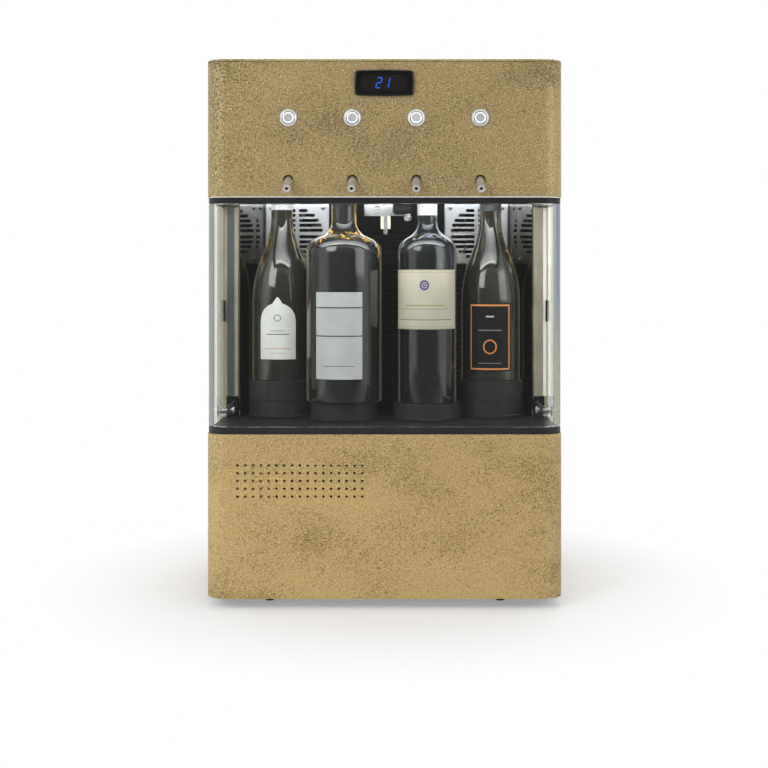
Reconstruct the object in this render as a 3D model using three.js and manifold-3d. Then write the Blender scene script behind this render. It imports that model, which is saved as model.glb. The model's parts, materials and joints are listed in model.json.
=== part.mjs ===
// Wine preservation dispenser for four bottles.
// Units are millimetres. +Z is up, the front faces -Y and +X is to the right as seen from the front.
// The origin is the middle of the bounding box at the height of the feet's soles.
// Inside the machine group, y is the depth behind the front plane of the casings.

import * as THREE from 'three';
import { mergeVertices } from 'three/addons/utils/BufferGeometryUtils.js';
import Module from 'manifold-3d';

const wasm = await Module();
wasm.setup();

// Driving dimensions

const fit = 0.3;       // running gap between neighbouring pieces
const overrun = 4;     // how far a cutting solid runs past the faces that it opens
const weld = 0.0001;   // points of one piece that lie closer than this are one point

// Bottles and their stands; the room that they need sets the cabinet's width and depth
const outerBottle = { radius: 40.6, neckRadius: 14.6, bead: 0.6, neck: 76, shoulder: 117 };
const magnum = { radius: 50.6, neckRadius: 16.6, bead: 1, neck: 84, shoulder: 45 };
const slimBottle = { radius: 39, neckRadius: 13, bead: 1.8, neck: 84, shoulder: 45 };
const slopingShares = { low: 0.5, high: 0.42 };
const fullShares = { low: 0.72, high: 0.62 };
const punt = { heel: 4, depth: 16, widthShare: 0.72 };
const collar = { height: 6.5, taper: 2.2 };
const mouth = {
  up: 55.7, corkRadius: 9.3, corkDepth: 38, tubeRadius: 2, tubeGap: 0.6, tubeStop: 16, holeRadius: 23,
};
const stopper = {
  flangeRadius: 16.5, flange: 4, bodyRadius: 13, body: 16, barbRadius: 4, barb: 12, taper: 0.5,
};
const riser = { flangeRadius: 46, flange: 3.5, lip: 2, height: 22.6, tier: 27, seam: 1.2, seat: 3, wall: 2.5 };
const frontRow = { halfGap: 9, depth: 101, slimSetBack: 1 };
const rearRow = { gap: 3.06, depth: 141.5 };

// Cabinet
const cabinet = { sideRoom: 36.8, rearRoom: 33.9, corner: 25, sheet: 2, rearFlange: 18 };
const foot = { height: 13, topRadius: 7, soleRadius: 5.8, lip: 2, fromSide: 75.8, fromFront: 50, fromRear: 45 };
const base = { height: 205.7, plate: 2 };
const deck = { thickness: 8.2, inset: 1 };
const bay = { height: 280.8, wall: 2, wallOverlap: 6, rearRoom: 3 };
const headPlate = { thickness: 7.5, frontRail: 14, openingCorner: 10 };
const head = { lid: 3, lidLip: 8, lidLipWall: 1.5, lidRound: 1.2, ceiling: 1.5 };
const vent = { radius: 1.7, spacing: 9.75, columns: 17, rows: 5, fromSide: 40.3, fromTop: 38.7 };
const panel = { thickness: 1.5, sideMargin: 27, margin: 3, corner: 6 };
const louvre = { width: 116, height: 6, spacing: 15, count: 3, across: 140, baseUp: 115, fromBayTop: 78 };
const rearWindow = { width: 330, height: 120, fromTop: 20 };

// Cover and the trim at the mouth of the bay
const cover = { depth: 118, sheet: 5, inset: 1, block: 14.8, blockLow: 9.6, blockHeight: 12, blockLength: 16 };
const arm = { sheet: 3, height: 14, length: 180, boltDepth: 58 };
const bolt = { radius: 3, headRadius: 5, headLength: 3.5, reach: 24 };
const jamb = { sheet: 1.5, foldDepth: 5, sideGap: 1, slotGap: 1 };
const liner = { sheet: 1.5, armGap: 1.2, kneeIn: 16.5, kneeFromWall: 20.5, rearIn: 28, frontGap: 1 };
const rib = { spacing: 16.3, height: 9.6, proud: 2.5, chamfer: 1, low: 12, fromTop: 40, grilleGap: 3 };
const led = { sideMargin: 9.5, width: 9, thickness: 2, fromRail: 6 };

// Fans and cooling
const fan = { size: 80, length: 25, corner: 4, wall: 2, topGap: 1.5, screwInset: 4.25 };
const rotor = { tipGap: 1.4, hubRadius: 17, hubLength: 17, round: 1.4, blades: 7, sheet: 1.8, chord: 21 };
const bladeTurn = { rootDegrees: 46, tipDegrees: 29, flatShare: 0.7 };
const spider = { depth: 3, armWidth: 5, arms: 4, screwRadius: 2.2 };
const grille = { lip: 2, sideMargin: 8, bottomMargin: 6.5, linerGap: 1, sheet: 1.2, standOff: 6 };
const slots = { rows: 5, first: 4.5, spacing: 6.83, height: 4.45, web: 4.4 };
const cooler = { halfWidth: 165, height: 124, web: 8, coldFin: 22, hotFin: 78, fin: 3, spacing: 32 };

// Closed units in the base, and their connections behind
const supply = {
  width: 150, depth: 98, height: 48, fromSide: 30, fromFront: 62, chamfer: 4, sheet: 2, terminals: 16,
};
const regulator = {
  bodyRadius: 21, bodyLength: 46, chamfer: 4, neckRadius: 7, boreRadius: 4, nutRadius: 11, nutLength: 9,
  reach: 15, fromFlange: 27, up: 79,
};
const inlet = {
  width: 48, height: 28, corner: 3, flange: 2.4, body: 27.4, bodyHeight: 19.6, length: 26,
  fromFlange: 27, up: 79,
};
const socket = { wall: 1.8, depth: 17, pinWidth: 4, pinHeight: 2, pinSpacing: 7, pinLength: 14 };

// Front of the head
const bottleSpacing = 80;
const spout = { up: 21.2, radius: 5, wall: 2.9, reach: 27, slopeDegrees: 23.5, holeGap: 1.5, edge: 0.7 };
const button = { aboveSpouts: 77.6, rimRadius: 11, proud: 3.2, round: 1.4, lip: 1.6, wall: 2.2, length: 28 };
const cap = { recess: 0.4, length: 20, edge: 0.6 };
const control = {
  aboveButtons: 43.4, belowTop: 26.8, width: 75, height: 33, proud: 4.5, bulge: 2.2, corner: 5,
  bodyInset: 2.5, bodyDepth: 52,
};
const display = { sideMargin: 8.5, edgeMargin: 6.5, recess: 0.8, corner: 3 };
const valves = {
  front: 21, depth: 24, low: 15, height: 24, overhang: 30, coilRadius: 11.5, buttonGap: 8.4, neck: 4,
};

// Under the bay's ceiling
const bracket = {
  width: 56, height: 20.5, depth: 20, sheet: 1.5, tongue: 5, tongueDrop: 24, keeper: 4, lip: 7,
};
const sensor = { width: 13, depth: 7, height: 14, drop: 3.5 };
const elbow = {
  radius: 7, length: 24, stemRadius: 4.5, outletRadius: 4.9, nutLip: 0.6, fromCentre: 10,
  outletDrop: 16, axisDrop: 11.5,
};

const arcSteps = 3;      // curve steps of a casing corner, two straight sides to a step
const roundSteps = 16;   // sides of a large turned piece
const boreSteps = 24;    // sides of a fan's bore
const smallSteps = 10;   // sides of a small turned piece
const buttonSteps = 12;  // sides of a button or spout
const holeSteps = 6;     // sides of each small vent hole

// Widths and depths that follow from the driving dimensions

const frontX = riser.flangeRadius + frontRow.halfGap;
const spread = Math.max(2 * riser.flangeRadius, magnum.radius + outerBottle.radius) + rearRow.gap;
const rearX = frontX + Math.sqrt(spread ** 2 - (rearRow.depth - frontRow.depth) ** 2);
const rowRadius = Math.max(riser.flangeRadius, outerBottle.radius);
const halfCabinet = rearX + rowRadius + cabinet.sideRoom;
const wallDepth = rearRow.depth + rowRadius + bay.rearRoom;
const bodyDepth = wallDepth + bay.wall + fit;
const coolerFront = bodyDepth + fan.length + fit;
const cabinetDepth = coolerFront + cooler.coldFin + cooler.web + cooler.hotFin + cabinet.rearRoom;
const panelDepth = cabinetDepth + fit;
const rearGapHalf = halfCabinet - cabinet.corner - cabinet.rearFlange;
const slope = THREE.MathUtils.degToRad(spout.slopeDegrees);
const frontReach = spout.reach * Math.cos(slope) + spout.radius * Math.sin(slope);
const rearReach = fit + panel.thickness + regulator.reach;
const frontY = (frontReach - rearReach - cabinetDepth) / 2;
const coverHalfWidth = halfCabinet - cover.inset;
const coverInner = coverHalfWidth - cover.sheet;
const casingFront = cover.depth + fit;
const blockInner = coverInner - cover.block;
const armOuter = blockInner - fit;
const armInner = armOuter - arm.sheet;
const jambOuter = coverInner - jamb.sideGap;
const jambInner = armInner - liner.armGap - liner.sheet;
const linerRear = jambInner - liner.rearIn;
const headOpeningHalf = jambInner + liner.sheet + liner.frontGap;
const fanBore = fan.size / 2 - fan.wall;
const slotRadius = fanBore - grille.lip;
const grilleHalf = slotRadius + grille.sideMargin;
const fanX = linerRear - grille.linerGap - grilleHalf;
const bottlePlaces = [-1.5, -0.5, 0.5, 1.5].map((step) => step * bottleSpacing);

// Heights that follow from the driving dimensions

const baseTop = foot.height + base.height;
const deckBottom = baseTop + fit;
const deckTop = deckBottom + deck.thickness;
const bayBottom = deckTop + fit;
const bayTop = deckTop + bay.height;
const plateTop = bayTop + headPlate.thickness;
const headBottom = plateTop + fit;
const innerTop = headBottom - fit;
const ceilingTop = headBottom + head.ceiling;
const mouthZ = ceilingTop + mouth.up;
const spoutZ = headBottom + spout.up;
const buttonZ = spoutZ + button.aboveSpouts;
const controlZ = buttonZ + control.aboveButtons;
const headTop = controlZ + control.belowTop;
const lidBottom = headTop + fit;
const fanZ = innerTop - fan.topGap - fan.size / 2;
const grilleBottom = fanZ - slotRadius - grille.bottomMargin;
const ribTop = bayTop - rib.fromTop;
const boltZ = deckTop + cover.blockLow + cover.blockHeight / 2;
const regulatorPlace = { x: rearGapHalf - regulator.fromFlange, z: foot.height + regulator.up };
const inletPlace = { x: inlet.fromFlange - rearGapHalf, z: foot.height + inlet.up };

// Materials

const surface = (colour, roughness, metalness, more = {}) =>
  new THREE.MeshStandardMaterial({ color: colour, roughness, metalness, ...more });
const goldPaint = () => surface(0xaa915a, 0.55, 0.45);
const blackPaint = () => surface(0x202224, 0.4, 0.2);
const steel = () => surface(0xc4c4c0, 0.25, 1);
const aluminium = () => surface(0xd2cdbf, 0.35, 0.9);
const glossBlack = () => surface(0x0c0c0e, 0.08, 0.1);
const satinBlack = () => surface(0x17181a, 0.45, 0);
const rubber = () => surface(0x141414, 0.85, 0);
const clear = () => surface(0xe6f2ee, 0.03, 0, { transparent: true, opacity: 0.25 });
const darkGlass = () => surface(0x1c1f12, 0.06, 0);
const paleLight = () => surface(0xffffff, 0.5, 0, { emissive: 0xffffff, emissiveIntensity: 2 });

// Shape tools

// A closed solid made from a three.js geometry, with its faces turned outwards.
function solid(geometry) {
  const plain = geometry.clone();
  plain.deleteAttribute('normal');
  plain.deleteAttribute('uv');
  const merged = mergeVertices(plain, weld);
  const position = merged.getAttribute('position');
  const index = merged.getIndex().array;
  const kept = [];
  const corner = [new THREE.Vector3(), new THREE.Vector3(), new THREE.Vector3()];
  let volume = 0;
  for (let i = 0; i < index.length; i += 3) {
    const [a, b, c] = [index[i], index[i + 1], index[i + 2]];
    if (a === b || b === c || c === a) continue;
    corner.forEach((point, k) => point.fromBufferAttribute(position, [a, b, c][k]));
    volume += corner[0].dot(corner[1].clone().cross(corner[2]));
    kept.push(a, b, c);
  }
  if (volume < 0) kept.reverse();
  const mesh = new wasm.Mesh({
    numProp: 3,
    vertProperties: Float32Array.from(position.array),
    triVerts: Uint32Array.from(kept),
  });
  return new wasm.Manifold(mesh);
}

function joined(solids) {
  return solids.reduce((whole, next) => whole.add(next));
}

function cut(whole, tools) {
  return whole.subtract(joined(tools));
}

// A named mesh of a solid, at its place in the machine.
function piece(name, body, material, place = [0, 0, 0]) {
  const { vertProperties, triVerts, numProp } = body.getMesh();
  const geometry = new THREE.BufferGeometry();
  const count = vertProperties.length / numProp;
  const position = new Float32Array(count * 3);
  for (let i = 0; i < count; i += 1) {
    for (let k = 0; k < 3; k += 1) position[i * 3 + k] = vertProperties[i * numProp + k];
  }
  geometry.setAttribute('position', new THREE.BufferAttribute(position, 3));
  geometry.setIndex(new THREE.BufferAttribute(new Uint32Array(triVerts), 1));
  geometry.computeVertexNormals();
  const mesh = new THREE.Mesh(geometry, material);
  mesh.name = name;
  mesh.position.set(...place);
  return mesh;
}

// A plan shape raised from one height to another.
function raised(shape, low, high, steps = arcSteps) {
  const geometry = new THREE.ExtrudeGeometry(shape, {
    depth: high - low,
    bevelEnabled: false,
    curveSegments: steps,
  });
  return geometry.translate(0, 0, low);
}

// A shape drawn in x and z, as seen from the front, and run back from one depth to another.
function runBack(shape, front, back, steps = arcSteps) {
  const geometry = new THREE.ExtrudeGeometry(shape, {
    depth: back - front,
    bevelEnabled: false,
    curveSegments: steps,
  });
  return geometry.rotateX(Math.PI / 2).translate(0, back, 0);
}

// A shape drawn in depth and height, run across from one x to another.
function runAcross(shape, left, right, steps = arcSteps) {
  const geometry = new THREE.ExtrudeGeometry(shape, {
    depth: right - left,
    bevelEnabled: false,
    curveSegments: steps,
  });
  return geometry.rotateY(Math.PI / 2).rotateX(Math.PI / 2).translate(left, 0, 0);
}

function block(x, y, z) {
  const geometry = new THREE.BoxGeometry(x[1] - x[0], y[1] - y[0], z[1] - z[0]);
  return geometry.translate((x[0] + x[1]) / 2, (y[0] + y[1]) / 2, (z[0] + z[1]) / 2);
}

// A turned piece about the upright axis, from [radius, height] points.
function turned(points, sides = roundSteps) {
  const profile = points.map(([radius, height]) => new THREE.Vector2(radius, height));
  return new THREE.LatheGeometry(profile, sides).rotateX(Math.PI / 2);
}

// The same about an axis that runs back, with depths in place of heights.
function turnedBack(points, sides = roundSteps) {
  const profile = points.map(([radius, depth]) => new THREE.Vector2(radius, depth));
  return new THREE.LatheGeometry(profile, sides);
}

function boreBack(x, z, radius, front, back, sides = smallSteps) {
  const geometry = new THREE.CylinderGeometry(radius, radius, back - front, sides);
  return geometry.translate(x, (front + back) / 2, z);
}

function boreAcross(y, z, radius, left, right, sides = smallSteps) {
  const geometry = new THREE.CylinderGeometry(radius, radius, right - left, sides);
  return geometry.rotateZ(Math.PI / 2).translate((left + right) / 2, y, z);
}

function roundedRectangle(left, right, low, high, radius) {
  const shape = new THREE.Shape();
  shape.absarc(right - radius, low + radius, radius, -Math.PI / 2, 0);
  shape.absarc(right - radius, high - radius, radius, 0, Math.PI / 2);
  shape.absarc(left + radius, high - radius, radius, Math.PI / 2, Math.PI);
  shape.absarc(left + radius, low + radius, radius, Math.PI, Math.PI * 1.5);
  shape.closePath();
  return shape;
}

// A slot with half-round ends.
function slotShape(left, right, low, high) {
  const radius = (high - low) / 2;
  const middle = low + radius;
  const shape = new THREE.Shape();
  shape.absarc(right - radius, middle, radius, -Math.PI / 2, Math.PI / 2);
  shape.absarc(left + radius, middle, radius, Math.PI / 2, Math.PI * 1.5);
  shape.closePath();
  return shape;
}

function polygon(points) {
  return new THREE.Shape(points.map(([x, y]) => new THREE.Vector2(x, y)));
}

// The plan of the cabinet, drawn in by the same amount all round.
function cabinetPlan(inset) {
  const half = halfCabinet - inset;
  return roundedRectangle(-half, half, inset, cabinetDepth - inset, cabinet.corner - inset);
}

// The plan of a casing bent from one sheet: front, two sides and two rear flanges.
function wrapPlan() {
  const { corner, sheet } = cabinet;
  const depth = cabinetDepth;
  const centre = halfCabinet - corner;
  const gap = rearGapHalf;
  const inner = corner - sheet;
  const quarter = Math.PI / 2;
  const shape = new THREE.Shape();
  shape.moveTo(gap, depth);
  shape.absarc(centre, depth - corner, corner, quarter, 0, true);
  shape.absarc(centre, corner, corner, 0, -quarter, true);
  shape.absarc(-centre, corner, corner, -quarter, -2 * quarter, true);
  shape.absarc(-centre, depth - corner, corner, 2 * quarter, quarter, true);
  shape.lineTo(-gap, depth);
  shape.lineTo(-gap, depth - sheet);
  shape.absarc(-centre, depth - corner, inner, quarter, 2 * quarter);
  shape.absarc(-centre, corner, inner, 2 * quarter, 3 * quarter);
  shape.absarc(centre, corner, inner, 3 * quarter, 4 * quarter);
  shape.absarc(centre, depth - corner, inner, 0, quarter);
  shape.lineTo(gap, depth - sheet);
  shape.closePath();
  return shape;
}

// One piece on each side of the middle, made from its name and the sign of its side.
function bothSides(name, make) {
  return [make(`${name}_left`, -1), make(`${name}_right`, 1)];
}

// The stretch between two distances from the middle, on the side with the given sign.
function span(side, near, far) {
  return side < 0 ? [-far, -near] : [near, far];
}

// Base

function feet() {
  const { height, topRadius, soleRadius, lip, fromSide, fromFront, fromRear } = foot;
  const top = height - fit;
  const profile = [[0, 0], [soleRadius, 0], [topRadius, top - lip], [topRadius, top], [0, top]];
  const x = halfCabinet - fromSide;
  const rows = { foot_front: fromFront, foot_rear: cabinetDepth - fromRear };
  return Object.entries(rows).flatMap(([row, depth]) => bothSides(row, (name, side) =>
    piece(name, solid(turned(profile, smallSteps)), rubber(), [side * x, depth, 0])));
}

function basePlate() {
  const plan = cabinetPlan(cabinet.sheet + fit);
  return piece('base_plate', solid(raised(plan, foot.height, foot.height + base.plate)), blackPaint());
}

function baseCasing() {
  const shell = solid(raised(wrapPlan(), foot.height, baseTop));
  const holes = [];
  for (let column = 0; column < vent.columns; column += 1) {
    for (let row = 0; row < vent.rows; row += 1) {
      const x = vent.fromSide - halfCabinet + column * vent.spacing;
      const z = baseTop - vent.fromTop - row * vent.spacing;
      holes.push(solid(boreBack(x, z, vent.radius, -overrun, cabinet.sheet + overrun, holeSteps)));
    }
  }
  return piece('base_casing', cut(shell, holes), goldPaint());
}

function powerSupply() {
  const { width, depth, height, fromSide, fromFront, chamfer, sheet, terminals } = supply;
  const left = fromSide - halfCabinet;
  const low = foot.height + base.plate + fit;
  const high = low + height;
  const back = fromFront + depth;
  const profile = polygon([
    [fromFront, low],
    [back, low],
    [back, low + sheet],
    [back - terminals, low + sheet],
    [back - terminals, high - chamfer],
    [back - terminals - chamfer, high],
    [fromFront + chamfer, high],
    [fromFront, high - chamfer],
  ]);
  const chassis = solid(runAcross(profile, left, left + width));
  const strip = block(
    [left + terminals, left + width - terminals],
    [back - terminals - sheet, back - sheet],
    [low + sheet / 2, low + terminals],
  );
  return piece('power_supply', chassis.add(solid(strip)), steel());
}

function gasRegulator() {
  const { bodyRadius, bodyLength, chamfer, neckRadius, boreRadius, nutRadius, nutLength, reach } = regulator;
  const outside = panelDepth + panel.thickness;
  const nutBack = panelDepth - fit;
  const bodyFront = nutBack - nutLength - bodyLength;
  const profile = [
    [0, bodyFront],
    [bodyRadius - chamfer, bodyFront],
    [bodyRadius, bodyFront + chamfer],
    [bodyRadius, bodyFront + bodyLength],
    [nutRadius, bodyFront + bodyLength],
    [nutRadius, nutBack],
    [neckRadius, nutBack],
    [neckRadius, outside + reach],
    [boreRadius, outside + reach],
    [boreRadius, outside],
    [0, outside],
  ];
  const { x, z } = regulatorPlace;
  return piece('gas_regulator', solid(turnedBack(profile, smallSteps)), aluminium(), [x, 0, z]);
}

function powerInlet() {
  const { width, height, corner, flange, body, bodyHeight, length } = inlet;
  const outside = panelDepth + panel.thickness + fit;
  const back = outside + flange;
  const plate = roundedRectangle(-width / 2, width / 2, -height / 2, height / 2, corner);
  const sleeve = roundedRectangle(-body / 2, body / 2, -bodyHeight / 2, bodyHeight / 2, corner);
  const hollowX = body / 2 - socket.wall;
  const hollowZ = bodyHeight / 2 - socket.wall;
  const hollow = roundedRectangle(-hollowX, hollowX, -hollowZ, hollowZ, corner - socket.wall / 2);
  const housing = joined([
    solid(runBack(plate, outside, back, 1)),
    solid(runBack(sleeve, back - length, back - flange / 2, 1)),
  ]);
  const cavity = solid(runBack(hollow, back - socket.depth, back + overrun, 1));
  const pins = [-1, 0, 1].map((step) => solid(block(
    [step * socket.pinSpacing - socket.pinHeight / 2, step * socket.pinSpacing + socket.pinHeight / 2],
    [back - socket.depth - socket.wall, back - socket.depth + socket.pinLength],
    [-socket.pinWidth / 2, socket.pinWidth / 2],
  )));
  const { x, z } = inletPlace;
  return piece('power_inlet', joined([cut(housing, [cavity]), ...pins]), satinBlack(), [x, 0, z]);
}

// Rear panel with two fields of louvre slots and the two connection holes.
function rearPanel() {
  const low = foot.height + panel.margin;
  const high = headTop - panel.margin;
  const half = halfCabinet - panel.sideMargin;
  const outline = roundedRectangle(-half, half, low, high, panel.corner);
  const plate = solid(runBack(outline, panelDepth, panelDepth + panel.thickness, 2));
  const front = panelDepth - overrun;
  const back = panelDepth + panel.thickness + overrun;
  const openings = [];
  for (const fieldBottom of [foot.height + louvre.baseUp, bayTop - louvre.fromBayTop]) {
    for (const side of [-1, 1]) {
      for (let row = 0; row < louvre.count; row += 1) {
        const middle = side * louvre.across / 2;
        const z = fieldBottom + row * louvre.spacing;
        const slot = slotShape(middle - louvre.width / 2, middle + louvre.width / 2, z, z + louvre.height);
        openings.push(solid(runBack(slot, front, back, 1)));
      }
    }
  }
  const neckHole = regulator.neckRadius + fit;
  openings.push(solid(boreBack(regulatorPlace.x, regulatorPlace.z, neckHole, front, back)));
  const halfBody = inlet.body / 2 + fit;
  const halfHeight = inlet.bodyHeight / 2 + fit;
  openings.push(solid(block(
    [inletPlace.x - halfBody, inletPlace.x + halfBody],
    [front, back],
    [inletPlace.z - halfHeight, inletPlace.z + halfHeight],
  )));
  return piece('rear_panel', cut(plate, openings), blackPaint());
}

// Bay: deck, walls, liners and the pieces that hold the cover

function deckPlate() {
  return piece('deck_plate', solid(raised(cabinetPlan(deck.inset), deckBottom, deckTop)), blackPaint());
}

function middleCasing() {
  const { corner, sheet } = cabinet;
  const depth = cabinetDepth;
  const centre = halfCabinet - corner;
  const inner = corner - sheet;
  const flangeEdge = (jambInner + jambOuter) / 2;
  const quarter = Math.PI / 2;
  const plan = new THREE.Shape();
  plan.moveTo(flangeEdge, casingFront);
  plan.lineTo(halfCabinet, casingFront);
  plan.absarc(centre, depth - corner, corner, 0, quarter);
  plan.absarc(-centre, depth - corner, corner, quarter, 2 * quarter);
  plan.lineTo(-halfCabinet, casingFront);
  plan.lineTo(-flangeEdge, casingFront);
  plan.lineTo(-flangeEdge, casingFront + sheet);
  plan.lineTo(-halfCabinet + sheet, casingFront + sheet);
  plan.absarc(-centre, depth - corner, inner, 2 * quarter, quarter, true);
  plan.absarc(centre, depth - corner, inner, quarter, 0, true);
  plan.lineTo(halfCabinet - sheet, casingFront + sheet);
  plan.lineTo(flangeEdge, casingFront + sheet);
  plan.closePath();
  const shell = solid(raised(plan, bayBottom, bayTop - fit));
  const { width, height, fromTop } = rearWindow;
  const opening = block(
    [-width / 2, width / 2],
    [depth - sheet - overrun, depth + overrun],
    [bayTop - fromTop - height, bayTop - fromTop],
  );
  return piece('middle_casing', cut(shell, [solid(opening)]), goldPaint());
}

// Upright trim on each side of the bay mouth; its foot is notched for the cover's arm.
function jambs() {
  const front = casingFront - fit - jamb.sheet;
  const fold = front + jamb.foldDepth;
  return bothSides('jamb', (name, side) => {
    const plan = polygon([
      [jambInner * side, front],
      [jambOuter * side, front],
      [jambOuter * side, front + jamb.sheet],
      [(jambInner + jamb.sheet) * side, front + jamb.sheet],
      [(jambInner + jamb.sheet) * side, fold],
      [jambInner * side, fold],
    ]);
    const strip = solid(raised(plan, bayBottom, bayTop - fit));
    const notch = block(
      span(side, jambInner - overrun, armOuter + fit),
      [front - overrun, fold + overrun],
      [bayBottom - overrun, boltZ + arm.height / 2 + jamb.slotGap],
    );
    return piece(name, cut(strip, [solid(notch)]), aluminium());
  });
}

// Glossy bent sheets that narrow the bay towards its back wall.
function sideLiners() {
  const inside = [
    [jambInner, casingFront - jamb.sheet + jamb.foldDepth + liner.frontGap - fit],
    [jambInner - liner.kneeIn, wallDepth - liner.kneeFromWall],
    [linerRear, wallDepth - fit],
  ];
  const outside = inside.map(([x, y]) => [x + liner.sheet, y]).reverse();
  return bothSides('bay_liner', (name, side) => {
    const plan = polygon([...inside, ...outside].map(([x, y]) => [x * side, y]));
    return piece(name, solid(raised(plan, bayBottom, innerTop)), glossBlack());
  });
}

// The side view of one run of ribs, on a strip of wall from one height to another.
function ribbedProfile(low, high, firstRib, lastRib) {
  const { spacing, height, proud, chamfer } = rib;
  const front = wallDepth;
  const points = [[front + bay.wall, low], [front + bay.wall, high], [front, high]];
  for (let z = lastRib; z >= firstRib - fit; z -= spacing) {
    points.push([front, z + height / 2], [front - proud, z + height / 2 - chamfer]);
    points.push([front - proud, z - height / 2 + chamfer], [front, z - height / 2]);
  }
  points.push([front, low]);
  return polygon(points);
}

// The back wall: ribs over its full width below the fans, and between the grilles above.
function bayBackPanel() {
  const count = Math.floor((ribTop - rib.low - bayBottom) / rib.spacing);
  const lowest = ribTop - count * rib.spacing;
  const besideGrille = Math.floor((ribTop - grilleBottom + rib.height) / rib.spacing) + 1;
  const wideTop = ribTop - besideGrille * rib.spacing;
  const step = wideTop + rib.spacing / 2;
  const wide = ribbedProfile(bayBottom, step, lowest, wideTop);
  const narrow = ribbedProfile(step - fit, innerTop, wideTop + rib.spacing, ribTop);
  const back = wallDepth + bay.wall;
  const half = linerRear + bay.wallOverlap;
  const wideHalf = linerRear - liner.frontGap;
  const narrowHalf = fanX - grilleHalf - rib.grilleGap;
  const wall = joined([
    solid(block([-half, half], [wallDepth, back], [bayBottom, innerTop])),
    solid(runAcross(wide, -wideHalf, wideHalf)),
    solid(runAcross(narrow, -narrowHalf, narrowHalf)),
  ]);
  const bores = [-1, 1].map((side) =>
    solid(boreBack(side * fanX, fanZ, fanBore, wallDepth - overrun, back + overrun, boreSteps)));
  return piece('bay_back_panel', cut(wall, bores), satinBlack());
}

// Fans

// A pressed guard: a slotted face that stands off the wall on folded edges.
function fanGrilles() {
  const { sheet, standOff } = grille;
  const half = grilleHalf;
  const back = wallDepth - fit;
  const front = back - standOff;
  const tray = cut(
    solid(block([-half, half], [front, back], [grilleBottom, innerTop])),
    [solid(block(
      [sheet - half, half - sheet],
      [front + sheet, back + overrun],
      [grilleBottom + sheet, innerTop + overrun],
    ))],
  );
  const quarters = [[-1, -1], [1, -1], [-1, 1], [1, 1]];
  const holes = [];
  for (let row = 0; row < slots.rows; row += 1) {
    const offset = slots.first + row * slots.spacing;
    const reach = Math.sqrt(slotRadius ** 2 - offset ** 2);
    for (const [side, up] of quarters) {
      const [left, right] = span(side, slots.web / 2, reach);
      const low = fanZ + up * offset - slots.height / 2;
      const slot = slotShape(left, right, low, low + slots.height);
      holes.push(solid(runBack(slot, front - overrun, front + sheet + overrun, 1)));
    }
  }
  const body = cut(tray, holes);
  return bothSides('fan_grille', (name, side) => piece(name, body, steel(), [side * fanX, 0, 0]));
}

function fanFrames() {
  const half = fan.size / 2;
  const back = bodyDepth + fan.length;
  const outline = roundedRectangle(-half, half, -half, half, fan.corner);
  const screwPlace = half - fan.screwInset;
  const screws = [[-1, -1], [1, -1], [1, 1], [-1, 1]].map(([x, z]) => solid(boreBack(
    x * screwPlace, z * screwPlace, spider.screwRadius, bodyDepth - overrun, back + overrun, holeSteps,
  )));
  const bore = solid(boreBack(0, 0, fanBore, bodyDepth - overrun, back + overrun, boreSteps));
  const ring = cut(solid(runBack(outline, bodyDepth, back, 1)), [bore, ...screws]);
  const hub = solid(boreBack(0, 0, rotor.hubRadius, back - spider.depth, back));
  const arms = [];
  for (let i = 0; i < spider.arms; i += 1) {
    const spoke = block(
      [rotor.hubRadius - spider.armWidth, fanBore + fan.wall / 2],
      [back - spider.depth, back],
      [-spider.armWidth / 2, spider.armWidth / 2],
    );
    arms.push(solid(spoke.rotateY((i + 0.5) * 2 * Math.PI / spider.arms)));
  }
  const body = joined([ring, hub, ...arms]);
  return bothSides('fan_frame', (name, side) => piece(name, body, satinBlack(), [side * fanX, 0, fanZ]));
}

function fanRotors() {
  const { hubRadius, hubLength, round, blades } = rotor;
  const front = bodyDepth + fan.length - spider.depth - fit - hubLength;
  const hub = solid(turnedBack([
    [0, front],
    [hubRadius - round, front],
    [hubRadius, front + round],
    [hubRadius, front + hubLength],
    [0, front + hubLength],
  ], boreSteps / 2));
  const middle = front + hubLength / 2;
  const vanes = [];
  for (let i = 0; i < blades; i += 1) vanes.push(solid(rotorBlade(middle, i * 2 * Math.PI / blades)));
  const body = joined([hub, ...vanes]);
  return bothSides('fan_rotor', (name, side) => piece(name, body, satinBlack(), [side * fanX, 0, fanZ]));
}

// A blade laid round the hub: each section is a cambered strip at its own radius, and the
// angle at which the strip stands falls from the root to the tip, so the blade twists.
function rotorBlade(middle, turn) {
  const { hubRadius, sheet, chord, tipGap } = rotor;
  const { rootDegrees, tipDegrees, flatShare } = bladeTurn;
  const root = hubRadius - sheet;
  const tip = fanBore - tipGap;
  const geometry = new THREE.BoxGeometry(1, sheet, 2, 2, 1, 2);
  const position = geometry.getAttribute('position');
  const point = new THREE.Vector3();
  for (let i = 0; i < position.count; i += 1) {
    point.fromBufferAttribute(position, i);
    const outward = point.x + 0.5;
    const radius = THREE.MathUtils.lerp(root, tip, outward);
    const stand = THREE.MathUtils.degToRad(THREE.MathUtils.lerp(rootDegrees, tipDegrees, outward));
    const across = point.z * chord / 2;
    const thick = point.y + sheet * (1 - point.z ** 2);
    const angle = turn + (across * Math.cos(stand) + thick * Math.sin(stand)) / radius;
    const depth = middle + across * Math.sin(stand) * flatShare - thick * Math.cos(stand);
    position.setXYZ(i, radius * Math.cos(angle), depth, radius * Math.sin(angle));
  }
  return geometry;
}

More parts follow.
